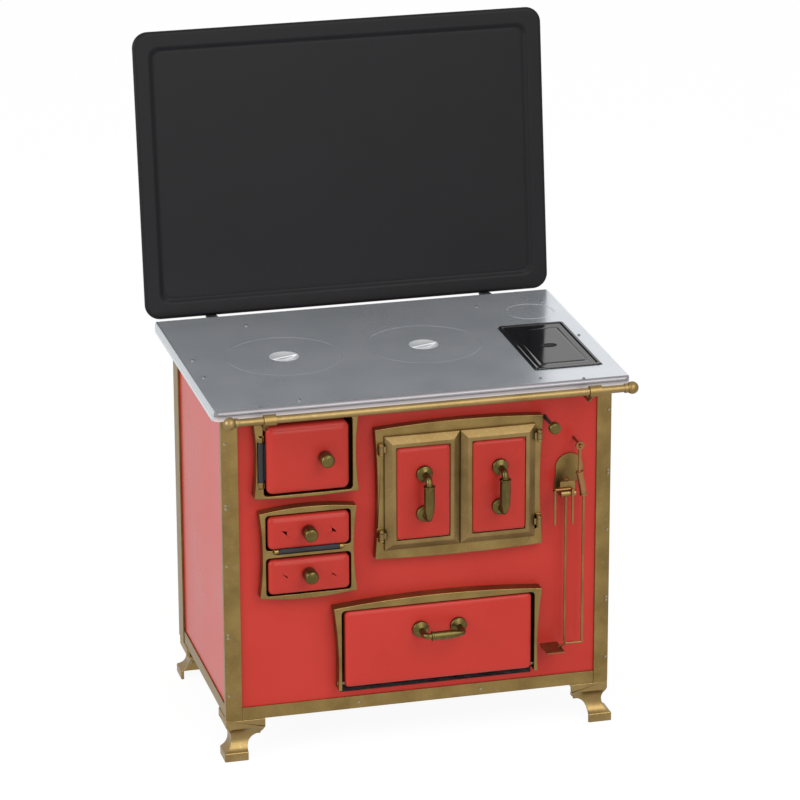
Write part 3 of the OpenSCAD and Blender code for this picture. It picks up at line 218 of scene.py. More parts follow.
# The cabinet's skin is sheet steel with fired red enamel: a front panel pressed from one sheet,
# two side panels and a back, all held behind the posts. The glaze has a faint orange-peel skin.

def fired_enamel(name, colour, deep, shine=0.26):
    """Enamel on steel: an even colour with slow drifts, a rippled skin and a soft gloss."""
    f = Finish(name)
    drift = f.spread(f.noise(5, 2), 0.3, 0.7)
    ripple = f.noise(210, 2)
    return f.surface(Base_Color=f.blend(drift, deep, colour), Roughness=shine + drift * 0.05,
                     Normal=f.relief(ripple, 0.00005, 0.08), IOR=1.31,
                     Specular_IOR_Level=0.36)


red = fired_enamel("red_enamel", tint(178, 52, 43), tint(172, 47, 38))
for sheet in ("front_panel", "left_side_panel", "right_side_panel", "back_panel"):
    dress(sheet, red)


# Inside, plain black iron: the cabinet's floor, the bars under the cooktop, the firebox column
# with its ash space, the smoke casing round the oven, and the oven box. Rolled sheet, with a
# dry stove-black coat that has gone brown in patches.

def stove_iron(name, colour, rust, grain=480, depth=0.0003):
    f = Finish(name)
    patch = f.spread(f.noise(22, 5), 0.45, 0.7)
    grit = f.noise(grain, 4)
    return f.surface(Base_Color=f.blend(patch * 0.5, colour, rust), Metallic=0.35,
                     Roughness=0.55 + grit * 0.25, Normal=f.relief(grit, depth, 0.5))


iron = stove_iron("stove_iron", tint(44, 44, 46), tint(64, 54, 46))
for sheet in ("bottom_pan", "top_rails", "firebox_casing", "smoke_casing", "oven_box",
              "ash_drawer_box"):
    dress(sheet, iron)


# Firebricks line both sides and the back of the fire: pressed fireclay slabs, cut to fit, with
# worn arrises, pores and soot that darkens them unevenly.

f = Finish("firebrick")
pores = f.node("TexVoronoi", None, {"Vector": f.place, "Scale": 260.0})
mottle = f.noise(45, 6)
soot = f.spread(f.noise(9, 3), 0.4, 0.62)
clay = f.blend(mottle, tint(176, 140, 104), tint(206, 178, 140))
clay = f.blend(soot * 0.55, clay, tint(72, 62, 54))
firebrick = f.surface(Base_Color=clay, Roughness=0.92, Normal=f.relief(pores + mottle, 0.0008, 0.7))
bm = cad_copy("firebricks")
ease(bm, 0.003, segments=2)
finished("firebrick_lining", bm, firebrick, "stove", "firebrick", "firebricks")


# The grate is a cast slab with long slots, laid loose over the opening in the shelf. Its edges
# are rounded by the mould, and its skin is coarse and a little rusty.

cast_grey = stove_iron("cast_grey_iron", tint(52, 50, 49), tint(92, 74, 60), 260, 0.0008)
bm = cad_copy("fire_grate")
ease(bm, 0.0016, segments=2)
finished("slotted_grate", bm, cast_grey, "stove", "black_iron", "fire_grate")


# The damper is an iron plate in the smoke passage on a long rod, pulled from the front by a small
# ribbed brass knob beside the oven.

def spot(x, y, z):
    """A point in millimetres, with y counted from the front plane, in the stove's metres."""
    return Vector((x / 1000, front + y / 1000, z / 1000))


def turned(bm, base, axis, profile, sides=40):
    """Spins a profile of (height along the axis, radius) points, in millimetres, into a solid."""
    axis = Vector(axis).normalized()
    side = axis.orthogonal().normalized()
    ring = [bm.verts.new(base + axis * (h / 1000) + side * (r / 1000)) for h, r in profile]
    line = [bm.edges.new(pair) for pair in zip(ring, ring[1:])]
    bmesh.ops.spin(bm, geom=ring + line, cent=base, axis=axis, dvec=(0, 0, 0),
                   angle=2 * math.pi, steps=sides, use_merge=True, use_duplicate=False)


def lathe_round(profile, radius, steps=3):
    """Rounds the inner corners of a lathe profile by cutting each with a short arc."""
    out = [profile[0]]
    for before, corner, after in zip(profile, profile[1:], profile[2:]):
        c = Vector(corner)
        a, b = Vector(before) - c, Vector(after) - c
        cut = min(radius, a.length * 0.45, b.length * 0.45)
        a, b = c + a.normalized() * cut, c + b.normalized() * cut
        for i in range(steps + 1):
            t = i / steps
            out.append(tuple(a * (1 - t) ** 2 + c * 2 * t * (1 - t) + b * t ** 2))
    return out + [profile[-1]]


dark_brass = lacquered_brass("dark_brass", tint(104, 92, 52), tint(84, 74, 40), 0.32)
dress("damper_slide", iron)
low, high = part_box("damper_knob")
knob_x, knob_z = (low.x + high.x) * 500, (low.z + high.z) * 500
bm = bmesh.new()
turned(bm, Vector((knob_x / 1000, high.y, knob_z / 1000)), (0, -1, 0), lathe_round(
    [(0, 0), (0, 9.6), (3, 9.6), (3.6, 13.3), (7, 13.3), (8, 12.2), (9, 13.3), (16.5, 13.3),
     (19.4, 10.4), (20, 0)], 1.1), 48)
finished("damper_pull_knob", bm, dark_brass, "damper", "dark_brass", "damper_knob")


# The oven's wire rack is a welded grid of bright drawn wire. It slides on two ledges in the
# oven box.

def bright_metal(name, colour, shine, skin=900):
    f = Finish(name)
    rub = f.noise(skin, 2)
    film = f.spread(f.noise(30, 3), 0.4, 0.7)
    return f.surface(Base_Color=f.blend(film, colour, tint(150, 148, 144)), Metallic=1.0,
                     Roughness=shine + rub * 0.08, Normal=f.relief(rub, 0.00005, 0.2))


bright = bright_metal("bright_steel", tint(212, 212, 214), 0.16)
dress("oven_rack", bright)


# The wood compartment is lined with galvanised sheet, and the water tank is folded from the
# same, with a flange that hangs in the cooktop. Zinc spangle shows as large dull crystals.

f = Finish("galvanised_sheet")
crystal = f.node("TexVoronoi", None, {"Vector": f.place, "Scale": 70.0}, out="Color")
tone = f.node("SeparateColor", None, {"Color": crystal})
zinc = f.surface(Base_Color=f.blend(tone, tint(150, 154, 158), tint(184, 187, 190)), Metallic=0.8,
                 Roughness=0.38 + tone * 0.14, Normal=f.relief(f.noise(500, 2), 0.0001, 0.2))
dress("compartment_liner", zinc)
dress("water_tank", zinc)


# The cooktop is a ground steel plate with its rim rolled down all round. Its holes are stepped
# for the hotplates, the flue cover and the tank. The grinding left fine scratches along X. The
# left roll and the front roll are painted darker, a painted reflection of the dark surroundings
# below them, and the front roll is also rougher. The foot of the front roll is painted a light
# pinkish grey, a painted reflection of the red enamel below it.

low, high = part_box("cooktop_plate")
f = Finish("ground_steel")
streak = f.noise(60, 4, (1, 34, 34))
haze = f.spread(f.noise(7, 3), 0.35, 0.65)
stain = f.spread(f.noise(26, 5), 0.62, 0.8)
plate_tone = f.blend(haze, tint(210, 215, 221), tint(217, 221, 227))
plate_tone = f.blend(stain * 0.15, plate_tone, tint(166, 164, 160))
axes = {n: f.node("SeparateXYZ", None, {"Vector": f.place}, out=i) for i, n in enumerate("xyz")}
# Painted reflection: the left roll and the front roll are painted darker, and the foot of the front
# roll pinkish light, for what these rolls reflect.
side_roll_reflection = f.spread(axes["x"], low.x + 0.0088, low.x + 0.0072)
plate_tone = f.blend(side_roll_reflection * 0.45, plate_tone, tint(150, 158, 160))
front_roll = f.spread(axes["y"], low.y + 0.0088, low.y + 0.0072)
plate_tone = f.blend(front_roll, plate_tone, tint(134, 131, 134))
roll_foot_reflection = front_roll * f.spread(axes["z"], top - 0.009, top - 0.019)
plate_tone = f.blend(roll_foot_reflection, plate_tone, tint(206, 196, 194))
ground_steel = f.surface(Base_Color=plate_tone, Metallic=0.7,
                         Normal=f.relief(streak, 0.00003, 0.04),
                         Roughness=0.2 + streak * 0.05 + haze * 0.03 + front_roll * 0.15)
bm = cad_copy("cooktop_plate")


def on_rim(edge):
    """Whether an edge lies on the rolled rim, near the outline and below the flat top."""
    roll_reach, roll_drop = 0.0101, 0.008
    return all(min(v.co.x - low.x, high.x - v.co.x, v.co.y - low.y, high.y - v.co.y) < roll_reach
               and v.co.z < top - roll_drop for v in edge.verts)


ease(bm, 0.001, on_rim, 2)
ease(bm, 0.0002, lambda e: not on_rim(e) and min(v.co.z for v in e.verts) > high.z - 1e-5, 1)
finished("rolled_cooktop", bm, ground_steel, "stove", "ground_steel", "cooktop_plate")


# Two lift-off hotplates and the small flue cover lie flush in the cooktop. Each is a turned disc,
# and the hotplates have a dished grip under a cross bar, the dish polished bright by use.

f = Finish("dish_steel")
wear = f.noise(420, 2)
dish_steel = f.surface(Base_Color=f.blend(wear * 0.5, tint(244, 245, 247), tint(226, 227, 229)),
                       Metallic=0.5, Roughness=0.24 + wear * 0.12,
                       Normal=f.relief(wear, 0.00005, 0.2))


def lift_disc(name, node, dish_r, body):
    low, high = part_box(node)
    r = (high.x - low.x) * 500
    t = (high.z - low.z) * 1000
    base = Vector(((low.x + high.x) / 2, (low.y + high.y) / 2, low.z))
    bm = bmesh.new()
    deep = min(4.6, t - 2)
    turned(bm, base, (0, 0, 1), [(0, 0), (0, r - 0.6), (0.6, r), (t - 0.12, r), (t, r - 0.12),
           (t, dish_r + 1.2), (t - 0.5, dish_r), (t - deep * 0.55, dish_r * 0.8),
           (t - deep, dish_r * 0.45), (t - deep, 0)], 96)
    finished(name, bm, ground_steel, body, "ground_steel", node)
    bm = bmesh.new()
    turned(bm, base + Vector((0, 0, (t - deep + 0.05) / 1000)), (0, 0, 1), [
        (0, 0), (0, dish_r * 0.44), (deep * 0.43, dish_r * 0.78), (deep * 0.86, dish_r * 0.985),
        (deep * 0.9, dish_r * 0.985), (deep * 0.5, dish_r * 0.77), (0.3, dish_r * 0.43),
        (0.3, 0)], 64)
    made = bmesh.ops.create_cube(bm, size=1.0)
    turn = Matrix.Rotation(math.radians(20), 4, "Z")
    bmesh.ops.transform(bm, verts=made["verts"], matrix=Matrix.Translation(
        base + Vector((0, 0, (t - 1.3) / 1000))) @ turn @ Matrix.Diagonal(
        (dish_r * 1.93 / 1000, 0.0065, 0.0024, 1)))
    ease(bm, 0.0008, lambda e: all(v in made["verts"] for v in e.verts), 2)
    finished(name + "_grip", bm, dish_steel, body, "bright_steel")


lift_disc("left_hotplate_disc", "left_hotplate", 34, "left_hotplate")
lift_disc("right_hotplate_disc", "right_hotplate", 34, "right_hotplate")
low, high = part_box("flue_cover")
r, t = (high.x - low.x) * 500, (high.z - low.z) * 1000
bm = bmesh.new()
turned(bm, Vector(((low.x + high.x) / 2, (low.y + high.y) / 2, low.z)), (0, 0, 1),
       [(0, 0), (0, r - 0.6), (0.6, r), (t - 0.4, r), (t, r - 0.4), (t, r - 3), (t - 0.15, r - 3.2),
        (t - 0.15, r - 3.8), (t, r - 4), (t, 0)], 64)
finished("flue_cover_disc", bm, ground_steel, "flue_cover", "ground_steel", "flue_cover")


# The tank's lid is pressed from sheet and enamelled glossy black: a rolled edge, a sunk field,
# a raised inner panel and a dished finger grip at its centre.

def black_glaze(name, colour, worn, shine, mirror):
    f = Finish(name)
    drift = f.spread(f.noise(6, 3), 0.35, 0.65)
    skin = f.noise(330, 2)
    return f.surface(Base_Color=f.blend(drift, colour, worn), Roughness=shine + drift * 0.04,
                     Normal=f.relief(skin, 0.00008, 0.15), Specular_IOR_Level=mirror)


def pressing(bm, place, half_w, half_h, rings, steps=7):
    """A pressed shell: a rounded outline, drawn on from ring to ring, with both ends filled.

    A ring gives its inset along the width, its inset along the height, its corner radius and its
    rise, all in millimetres. Place sets the sheet's own frame, with the rise along its Z."""
    outline = []
    for in_w, in_h, r, rise in rings:
        w, h = half_w - in_w - r, half_h - in_h - r
        points = []
        for k, (sx, sy) in enumerate(((1, 1), (-1, 1), (-1, -1), (1, -1))):
            for i in range(steps + 1):
                a = math.pi / 2 * (k + i / steps)
                at = Vector((sx * w + r * math.cos(a), sy * h + r * math.sin(a), rise)) / 1000
                points.append(place @ at)
        if not outline:
            outline = [bm.verts.new(point) for point in points]
            edges = first = [bm.edges.new(pair) for pair in zip(outline, outline[1:] + outline[:1])]
            continue
        index = {tuple(v.co): i for i, v in enumerate(outline)}
        drawn = bmesh.ops.extrude_edge_only(bm, edges=edges)["geom"]
        edges = [g for g in drawn if isinstance(g, bmesh.types.BMEdge)]
        for v in (g for g in drawn if isinstance(g, bmesh.types.BMVert)):
            place_in_ring = index[tuple(v.co)]
            outline[place_in_ring] = v
            v.co = points[place_in_ring]
    for loop in (first, edges):
        bmesh.ops.edgeloop_fill(bm, edges=loop)


glossy_black = black_glaze("glossy_black", tint(14, 14, 16), tint(20, 20, 22), 0.07, 0.5)
low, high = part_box("tank_lid")
bm = bmesh.new()
pressing(bm, Matrix.Translation(((low.x + high.x) / 2, (low.y + high.y) / 2, low.z)),
         (high.x - low.x) * 500, (high.y - low.y) * 500,
         [(0.5, 0.5, 9.5, 0), (0, 0, 10, 0.5), (0, 0, 10, 5.3), (0.5, 0.5, 9.5, 6.1),
          (1.4, 1.4, 8.8, 6.5), (5.6, 5.6, 7, 6.5), (7, 7, 6.6, 6.0), (8.6, 8.6, 6.2, 4.6),
          (9.6, 9.6, 6, 4.3), (13, 16, 6, 4.3), (17, 24, 6, 4.3), (22, 34, 6, 4.3),
          (23.4, 35.4, 5.6, 3.5), (25.6, 37.6, 5, 3.5), (27, 39, 4.6, 4.6), (28.6, 40.6, 4.2, 4.9),
          (30.6, 42.6, 4, 4.9)])
finished("pressed_tank_lid", bm, glossy_black, "tank_lid", "black_enamel", "tank_lid")
bm = bmesh.new()
centre = Vector(((low.x + high.x) / 2, (low.y + high.y) / 2, high.z - 0.0018))
turned(bm, centre, (0, 0, 1), lathe_round([(0, 0), (0, 19), (1.3, 18), (1.3, 15.6), (0.5, 12.5),
       (0.5, 0)], 0.7), 48)
bmesh.ops.scale(bm, vec=(1, 0.62, 1), verts=bm.verts, space=Matrix.Translation(-centre))
worn_black = black_glaze("worn_black", tint(9, 9, 10), tint(13, 13, 14), 0.42, 0.14)
finished("tank_lid_grip", bm, worn_black, "tank_lid", "black_enamel")


# The firebox door hangs in a cast frame with hollow sides. The frame is brass-coloured, screwed
# to the panel from behind, with its front edges rounded in the mould.

bm = cad_copy("firebox_door_frame")
ease(bm, 0.0016)
finished("firebox_frame_casting", bm, brass, "stove", "aged_brass", "firebox_door_frame")


# The red doors and the ash drawer's front are pressed, enamelled shells: round corners, and a
# soft roll from the face to the side all round. The flap of the wood compartment is the largest.

def soft_door(name, node, body, finish, corner, roll, drop, crown=0.5):
    """A shell with an oval roll from its sides, and then a face that swells a little."""
    low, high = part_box(node)
    deep = (high.y - low.y) * 1000
    stand = Matrix.Translation(((low.x + high.x) / 2, high.y, (low.z + high.z) / 2))
    rings = [(0.8, 0.8, corner - 0.8, 0), (0, 0, corner, 0.8)]
    for i in range(11):
        a = math.pi / 2 * i / 10
        inset = roll * (1 - math.cos(a))
        rise = deep - crown - drop * (1 - math.sin(a))
        rings.append((inset, inset, max(corner - inset * 0.6, 2), rise))
    swell = ((6, 0.45), (14, 0.75), (26, 0.95), (34, 1.0))
    rings += [(roll + i, roll + i, 2, deep - crown * (1 - share)) for i, share in swell]
    bm = bmesh.new()
    pressing(bm, stand @ Matrix.Rotation(math.pi / 2, 4, "X"), (high.x - low.x) * 500,
             (high.z - low.z) * 500, rings, 8)
    finished(name, bm, finish, body, "red_enamel", node, crisp=math.radians(50))


# The doors, the ash drawer's front and the leaf panels get a deeper copy of the red enamel: painted
# shade on them. The flap and the panels keep the plain red.
door_red_shaded = fired_enamel("door_enamel_shaded", tint(168, 48, 39), tint(162, 44, 35))
soft_door("firebox_door_shell", "firebox_door", "firebox_door", door_red_shaded, 14, 19, 12)
soft_door("air_door_shell", "air_door", "air_door", door_red_shaded, 11, 15, 9.5)
soft_door("ash_front_shell", "ash_drawer_front", "ash_drawer", door_red_shaded, 11, 15, 9.5)


# A black barrel at the firebox door's left edge and another under the air door turn on steel
# pins, whose domed ends show bright between the frame's lugs.

barrel_black = stove_iron("barrel_black", tint(38, 39, 44), tint(40, 38, 38), 900, 0.0001)
for barrel, name, body in (("firebox_door_barrel", "firebox_hinge_barrel", "firebox_door"),
                           ("air_door_barrel", "air_hinge_barrel", "air_door")):
    bm = cad_copy(barrel)
    ease(bm, 0.0006, segments=2)
    finished(name, bm, barrel_black, body, "black_iron", barrel)
f = Finish("pin_steel")
height = f.node("SeparateXYZ", None, {"Vector": f.place}, out=2)
rub = f.noise(900, 2)
# Pins low on the stove, at the compartment flap, are painted a dark brownish tone: painted shade
# where they sit under the flap. The pins higher up keep the bright steel.
low_pin_shade = f.spread(height, 0.32, 0.28)
pin_tone = f.blend(low_pin_shade, tint(206, 205, 204), tint(92, 78, 52))
pin_steel = f.surface(Base_Color=f.blend(rub * 0.3, pin_tone, tint(120, 112, 100)), Metallic=1.0,
                      Roughness=0.16 + rub * 0.1 + low_pin_shade * 0.2,
                      Normal=f.relief(rub, 0.00005, 0.2))
dress("hinge_pins", pin_steel)


# Turned brass knobs, all alike: a short foot and a thick drum with rounded edges, a shallow
# groove near its front and a faintly domed face.

def door_knob(name, node, body):
    low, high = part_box(node)
    r = (high.x - low.x) * 500
    base = Vector(((low.x + high.x) / 2, high.y, (low.z + high.z) / 2))
    bm = bmesh.new()
    turned(bm, base, (0, -1, 0), lathe_round(
        [(0, 0), (0, r * 0.84), (2.2, r * 0.82), (3.6, r * 0.95), (6.5, r), (28, r),
         (28.6, r * 0.965), (29.6, r * 0.965), (30.2, r), (34.6, r * 0.985), (37.8, r * 0.8),
         (38.7, r * 0.5), (39, 0)], 1.6), 64)
    finished(name, bm, dark_brass, body, "dark_brass", node)


door_knob("firebox_turned_knob", "firebox_door_knob", "firebox_door")
door_knob("air_turned_knob", "air_door_knob", "air_door")
door_knob("ash_turned_knob", "ash_drawer_knob", "ash_drawer")


# One frame serves the air door and the ash drawer, with a bar between them that carries the
# air door's barrel.

bm = cad_copy("small_door_frame")
ease(bm, 0.0014)
finished("air_and_ash_frame_casting", bm, brass, "stove", "aged_brass", "small_door_frame")


# The oven's frame is the largest casting, with an arched top, hollow sides and two pairs of
# lugs for the leaves' pins.

bm = cad_copy("oven_door_frame")
ease(bm, 0.0013)
finished("oven_frame_casting", bm, brass, "stove", "aged_brass", "oven_door_frame")


# Each oven leaf is a brass-coloured frame with a wide flat bevel, mitred at its corners, round
# an enamelled panel with soft edges. Two knuckles are cast on its outer side.

def facing(bm, direction):
    """The faces that look along a direction and lie furthest along it."""
    way = Vector(direction)
    found = [f for f in bm.faces if f.normal.dot(way) > 0.999]
    reach = max(f.calc_center_median().dot(way) for f in found)
    return [f for f in found if f.calc_center_median().dot(way) > reach - 1e-5]


def step_in(bm, face, *steps):
    """Insets a face again and again by (width, depth) pairs in millimetres."""
    for width, depth in steps:
        bmesh.ops.inset_region(bm, faces=face, thickness=width / 1000, depth=depth / 1000,
                               use_even_offset=True, use_boundary=True)


leaf_polish = lacquered_brass("leaf_brass", tint(136, 114, 74), tint(120, 98, 60), 0.42)
pin_out, pin_aside, lug_half, knuckle_zs = 30, 95, 7, (518, 722)
for side, name in ((-1, "left"), (1, "right")):
    body = name + "_leaf"
    plow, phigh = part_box(name + "_leaf_panel")
    border = 0.025
    low = Vector((plow.x - border, 0, plow.z - border - 0.001))
    high = Vector((phigh.x + border, 0, phigh.z + border + 0.001))
    back, edge = front - 0.0186, front - 0.023
    bm = bmesh.new()
    made = bmesh.ops.create_cube(bm, size=1.0)
    bmesh.ops.transform(bm, verts=made["verts"], matrix=Matrix.Translation(
        ((low.x + high.x) / 2, (back + edge) / 2, (low.z + high.z) / 2))
        @ Matrix.Diagonal((high.x - low.x, back - edge, high.z - low.z, 1)))
    face = facing(bm, (0, -1, 0))
    step_in(bm, face, (0.4, 1.0), (0.9, 1.2), (13.8, 9.0), (1.1, 0.6), (1.2, 0.25), (1.0, 0.05),
            (5.2, 0.04), (0.7, -0.15), (0.5, -0.6), (0.2, -5.8))
    pin_x = (plow.x + phigh.x) * 500 + side * pin_aside
    for knuckle_z in knuckle_zs:
        knuckle = spot(pin_x, -pin_out, knuckle_z - lug_half)
        turned(bm, knuckle, (0, 0, 1), lathe_round(
            [(0, 0), (0, 6), (14, 6), (14, 0)], 0.7), 32)
        web = bmesh.ops.create_cube(bm, size=1.0)
        reach = abs(pin_x - (low.x if side < 0 else high.x) * 1000)
        middle = (pin_x + (low.x if side < 0 else high.x) * 1000) / 2 - side * 2
        bmesh.ops.transform(bm, verts=web["verts"], matrix=Matrix.Translation(
            spot(middle, -26.7, knuckle_z))
            @ Matrix.Diagonal(((reach + 1) / 1000, 0.005, 0.0136, 1)))
    finished(name + "_leaf_casting", bm, leaf_polish, body, "aged_brass", name + "_leaf_frame",
             crisp=math.radians(24))

    soft_door(name + "_leaf_panel_shell", name + "_leaf_panel", body, door_red_shaded, 9, 11, 8, 0.3)


# Bail handles: two turned feet, necks that bend through a quarter circle, and a thicker grip
# with a collar at its upper end. The oven leaves have them upright, the flap has one lying.

class Rod:
    """A round bar drawn out ring by ring: straight runs, steps in thickness and bends."""

    def __init__(self, bm, start, way, radius, sides=28):
        self.bm, self.at, self.way, self.r = bm, Vector(start), Vector(way).normalized(), radius
        turn = Vector((0, 0, 1)).rotation_difference(self.way).to_matrix().to_4x4()
        made = bmesh.ops.create_circle(bm, cap_ends=True, radius=radius / 1000, segments=sides,
                                       matrix=Matrix.Translation(self.at) @ turn)
        self.ring = list({e for v in made["verts"] for e in v.link_edges})

    def run(self, length, radius=None):
        """Draws the bar on by a length, and changes its radius on the way."""
        made = bmesh.ops.extrude_edge_only(self.bm, edges=self.ring)["geom"]
        verts = [g for g in made if isinstance(g, bmesh.types.BMVert)]
        self.ring = [g for g in made if isinstance(g, bmesh.types.BMEdge)]
        self.at = self.at + self.way * (length / 1000)
        bmesh.ops.translate(self.bm, verts=verts, vec=self.way * (length / 1000))
        if radius is not None:
            share = radius / self.r
            bmesh.ops.scale(self.bm, verts=verts, vec=(share,) * 3,
                            space=Matrix.Translation(-self.at))
            self.r = radius
        return self

    def bend(self, towards, inner, angle=math.pi / 2, steps=9):
        """Turns the bar towards a direction, round a centre that lies inner away."""
        side = Vector(towards).normalized()
        axis = self.way.cross(side).normalized()
        centre = self.at + side * (inner / 1000)
        verts = list({v for e in self.ring for v in e.verts})
        last = bmesh.ops.spin(self.bm, geom=verts + self.ring, cent=centre, axis=axis,
                              dvec=(0, 0, 0), angle=angle, steps=steps, use_merge=False,
                              use_duplicate=False)["geom_last"]
        self.ring = [g for g in last if isinstance(g, bmesh.types.BMEdge)]
        turn = Matrix.Rotation(angle, 3, axis)
        self.at = centre + turn @ (self.at - centre)
        self.way = turn @ self.way
        return self

    def end(self, dome=0):
        """Closes the bar, flat or with a dome of the given height."""
        if dome:
            r = self.r
            for a in (30, 55, 75):
                rise = dome * (math.sin(math.radians(a)) - math.sin(math.radians(
                    {30: 0, 55: 30, 75: 55}[a])))
                self.run(rise, r * math.cos(math.radians(a)))
        bmesh.ops.edgeloop_fill(self.bm, edges=self.ring)
        return self


def bail(name, node, along, body, boss=18.5, neck=7.5, grip=12, stand=46, span=94):
    """A bail handle between two feet that stand span apart along a direction."""
    low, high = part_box(node)
    middle = Vector(((low.x + high.x) / 2, high.y, (low.z + high.z) / 2))
    along, out = Vector(along), Vector((0, -1, 0))
    bm = bmesh.new()
    for end in (-1, 1):
        foot = middle + along * (end * span / 2000)
        turned(bm, foot, out, lathe_round([(0, 0), (0, boss), (7.2, boss), (9, boss * 0.92),
               (10.2, boss * 0.78), (11.6, boss * 0.62), (13.6, neck + 0.4), (15, 0)], 1.2), 40)
    inner = neck + 4
    rod = Rod(bm, middle + along * (span / 2000) + out * 0.008, out, neck)
    rod.run(stand - inner - 8).bend(-along, inner)
    rod.run(2.0).run(0.6, grip + 1.2).run(3.4).run(0.5, grip * 0.96)
    length = span - 2 * inner - 2 - 0.6 - 3.4 - 0.5 - 3
    rod.run(length * 0.3, grip).run(length * 0.4, grip * 0.985).run(length * 0.3, grip * 0.86)
    rod.run(0.7, neck).run(2.3)
    rod.bend(-out, inner).run(stand - inner - 8).end()
    ease(bm, 0.0007, lambda e: e.calc_face_angle(0) > 0.9, 2)
    finished(name, bm, dark_brass, body, "dark_brass", node, crisp=math.radians(40))


bail("left_leaf_bail", "left_leaf_handle", (0, 0, 1), "left_leaf")
bail("right_leaf_bail", "right_leaf_handle", (0, 0, 1), "right_leaf")


# The wood compartment's frame is a cast arch with two flared legs, open below. Its flap swings
# down on a plain pin, and lifts by a lying bail handle.

bm = cad_copy("compartment_frame")
ease(bm, 0.0016)
finished("compartment_arch_casting", bm, brass, "stove", "aged_brass", "compartment_frame")
soft_door("compartment_flap_shell", "compartment_flap", "compartment_flap", red, 10, 12, 8.5)
bail("compartment_bail", "compartment_handle", (-1, 0, 0), "compartment_flap", 19, 7, 10, 50, 88)


# The front rail is a drawn brass tube in two brackets, with turned ends. It keeps clothes off
# the hot rim and dries tea towels, and it is rubbed brighter than the castings.

rail_brass = lacquered_brass("rail_brass", tint(144, 122, 80), tint(128, 106, 66), 0.4)
low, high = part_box("rail_bar")
r = (high.z - low.z) * 500
bm = bmesh.new()
axle = Vector((low.x, (low.y + high.y) / 2, (low.z + high.z) / 2))
Rod(bm, axle, (1, 0, 0), r, 40).run((high.x - low.x) * 1000).end()
finished("drawn_rail", bm, rail_brass, "stove", "aged_brass", "rail_bar")
bm = bmesh.new()
collar, ball, ball_at = r + 2, r + 5.5, 18.76
round_end = [(ball_at + ball * math.sin(math.radians(a)), ball * math.cos(math.radians(a)))
             for a in range(-48, 85, 9)]
for way, x in ((-1, low.x), (1, high.x)):
    base = Vector((x, axle.y, axle.z))
    turned(bm, base, (way, 0, 0), [(0, 0), (0, collar - 0.8), (0.8, collar), (7.4, collar),
           (8, collar - 1.1), *round_end, (ball_at + ball - 0.3, 0)], 40)
finished("turned_rail_ends", bm, rail_brass, "stove", "aged_brass", "rail_ends")
bm = cad_copy("rail_brackets")
ease(bm, 0.0008, segments=2)
finished("bent_rail_brackets", bm, brass, "stove", "aged_brass", "rail_brackets")


# A tool rack hangs at the right of the oven: a round-topped plate, a shelf with a rolled lip
# and a peg, folded and riveted from brass sheet.

bm = cad_copy("tool_rack")
ease(bm, 0.0008, segments=2)
finished("folded_tool_rack", bm, brass, "stove", "aged_brass", "tool_rack")


# Three tools hang there: a poker through the shelf, an ash scraper on the peg and a lid lifter
# over the lip. They are drawn rod with turned grips in lacquered brass, its colour tinted redder:
# a painted reflection of the red panel behind them.

tool_brass_red_reflection = lacquered_brass("tool_brass_red_reflection", tint(150, 108, 70), tint(130, 92, 58), 0.42)
for tool, name, body in (("poker", "fire_poker", "poker"), ("ash_scraper", "ash_scraper_tool",
                         "ash_scraper"), ("lid_lifter", "lid_lifter_tool", "lid_lifter")):
    bm = cad_copy(tool)
    ease(bm, 0.0005, segments=2)
    finished(name, bm, tool_brass_red_reflection, body, "aged_brass", tool)


# The lid is a pressed steel shell in satin black enamel, with a broad raised border, a soft
# step and a sunk inner panel. It stands open and leans back a little on two iron brackets.

satin_black = black_glaze("satin_black", tint(14, 14, 16), tint(18, 18, 20), 0.46, 0.17)
lean, lid_half_w, lid_half_l = math.radians(7.3), 485.5, 334.5
lid_behind, lid_above = 0.035, 0.005
hinge = Vector(((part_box("lid_pins")[0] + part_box("lid_pins")[1]) / 2))
hinge.x = 0
lid_frame = (Matrix.Translation(hinge) @ Matrix.Rotation(-lean, 4, "X")
             @ Matrix.Translation((0, lid_behind, lid_above + lid_half_l / 1000))
             @ Matrix.Rotation(math.pi / 2, 4, "X"))
bm = bmesh.new()
pressing(bm, lid_frame, lid_half_w, lid_half_l,
         [(3.2, 3.2, 32.8, 0), (0.9, 0.9, 35.1, 0.8), (0, 0, 36, 2.6), (0, 0, 36, 5.4),
          (0.5, 0.5, 35.5, 7.6), (1.8, 1.8, 34.2, 9.6), (3.8, 3.8, 32.2, 11.1),
          (6.4, 6.4, 29.6, 11.85), (9, 9, 27, 12), (33, 33, 25, 12), (35, 35, 24.5, 11.8),
          (37, 37, 23.8, 11.1), (39.6, 39.6, 22.6, 9.4), (42.8, 42.8, 21.4, 6.9),
          (44.6, 44.6, 20.6, 6.1), (46, 46, 20, 5.8), (46.2, 46.2, 20, 5.2), (46.2, 46.2, 20, 1.5)],
         12)
finished("pressed_lid_shell", bm, satin_black, "lid", "black_enamel", "lid_shell")
bm = bmesh.new()
pressing(bm, lid_frame, lid_half_w, lid_half_l,
         [(44.6, 44.6, 21, 3), (44.6, 44.6, 21, 4.9), (47.6, 47.6, 20, 5.6), (54, 54, 18, 5.8),
          (140, 120, 12, 6.1)], 12)
finished("pressed_lid_panel", bm, satin_black, "lid", "black_enamel", "lid_liner")
dress("lid_hinge_leaves", iron)
dress("lid_brackets", iron)
dress("lid_pins", bright)


# Low domed screws hold the posts, the base rail and the cooktop. Their heads are plated.

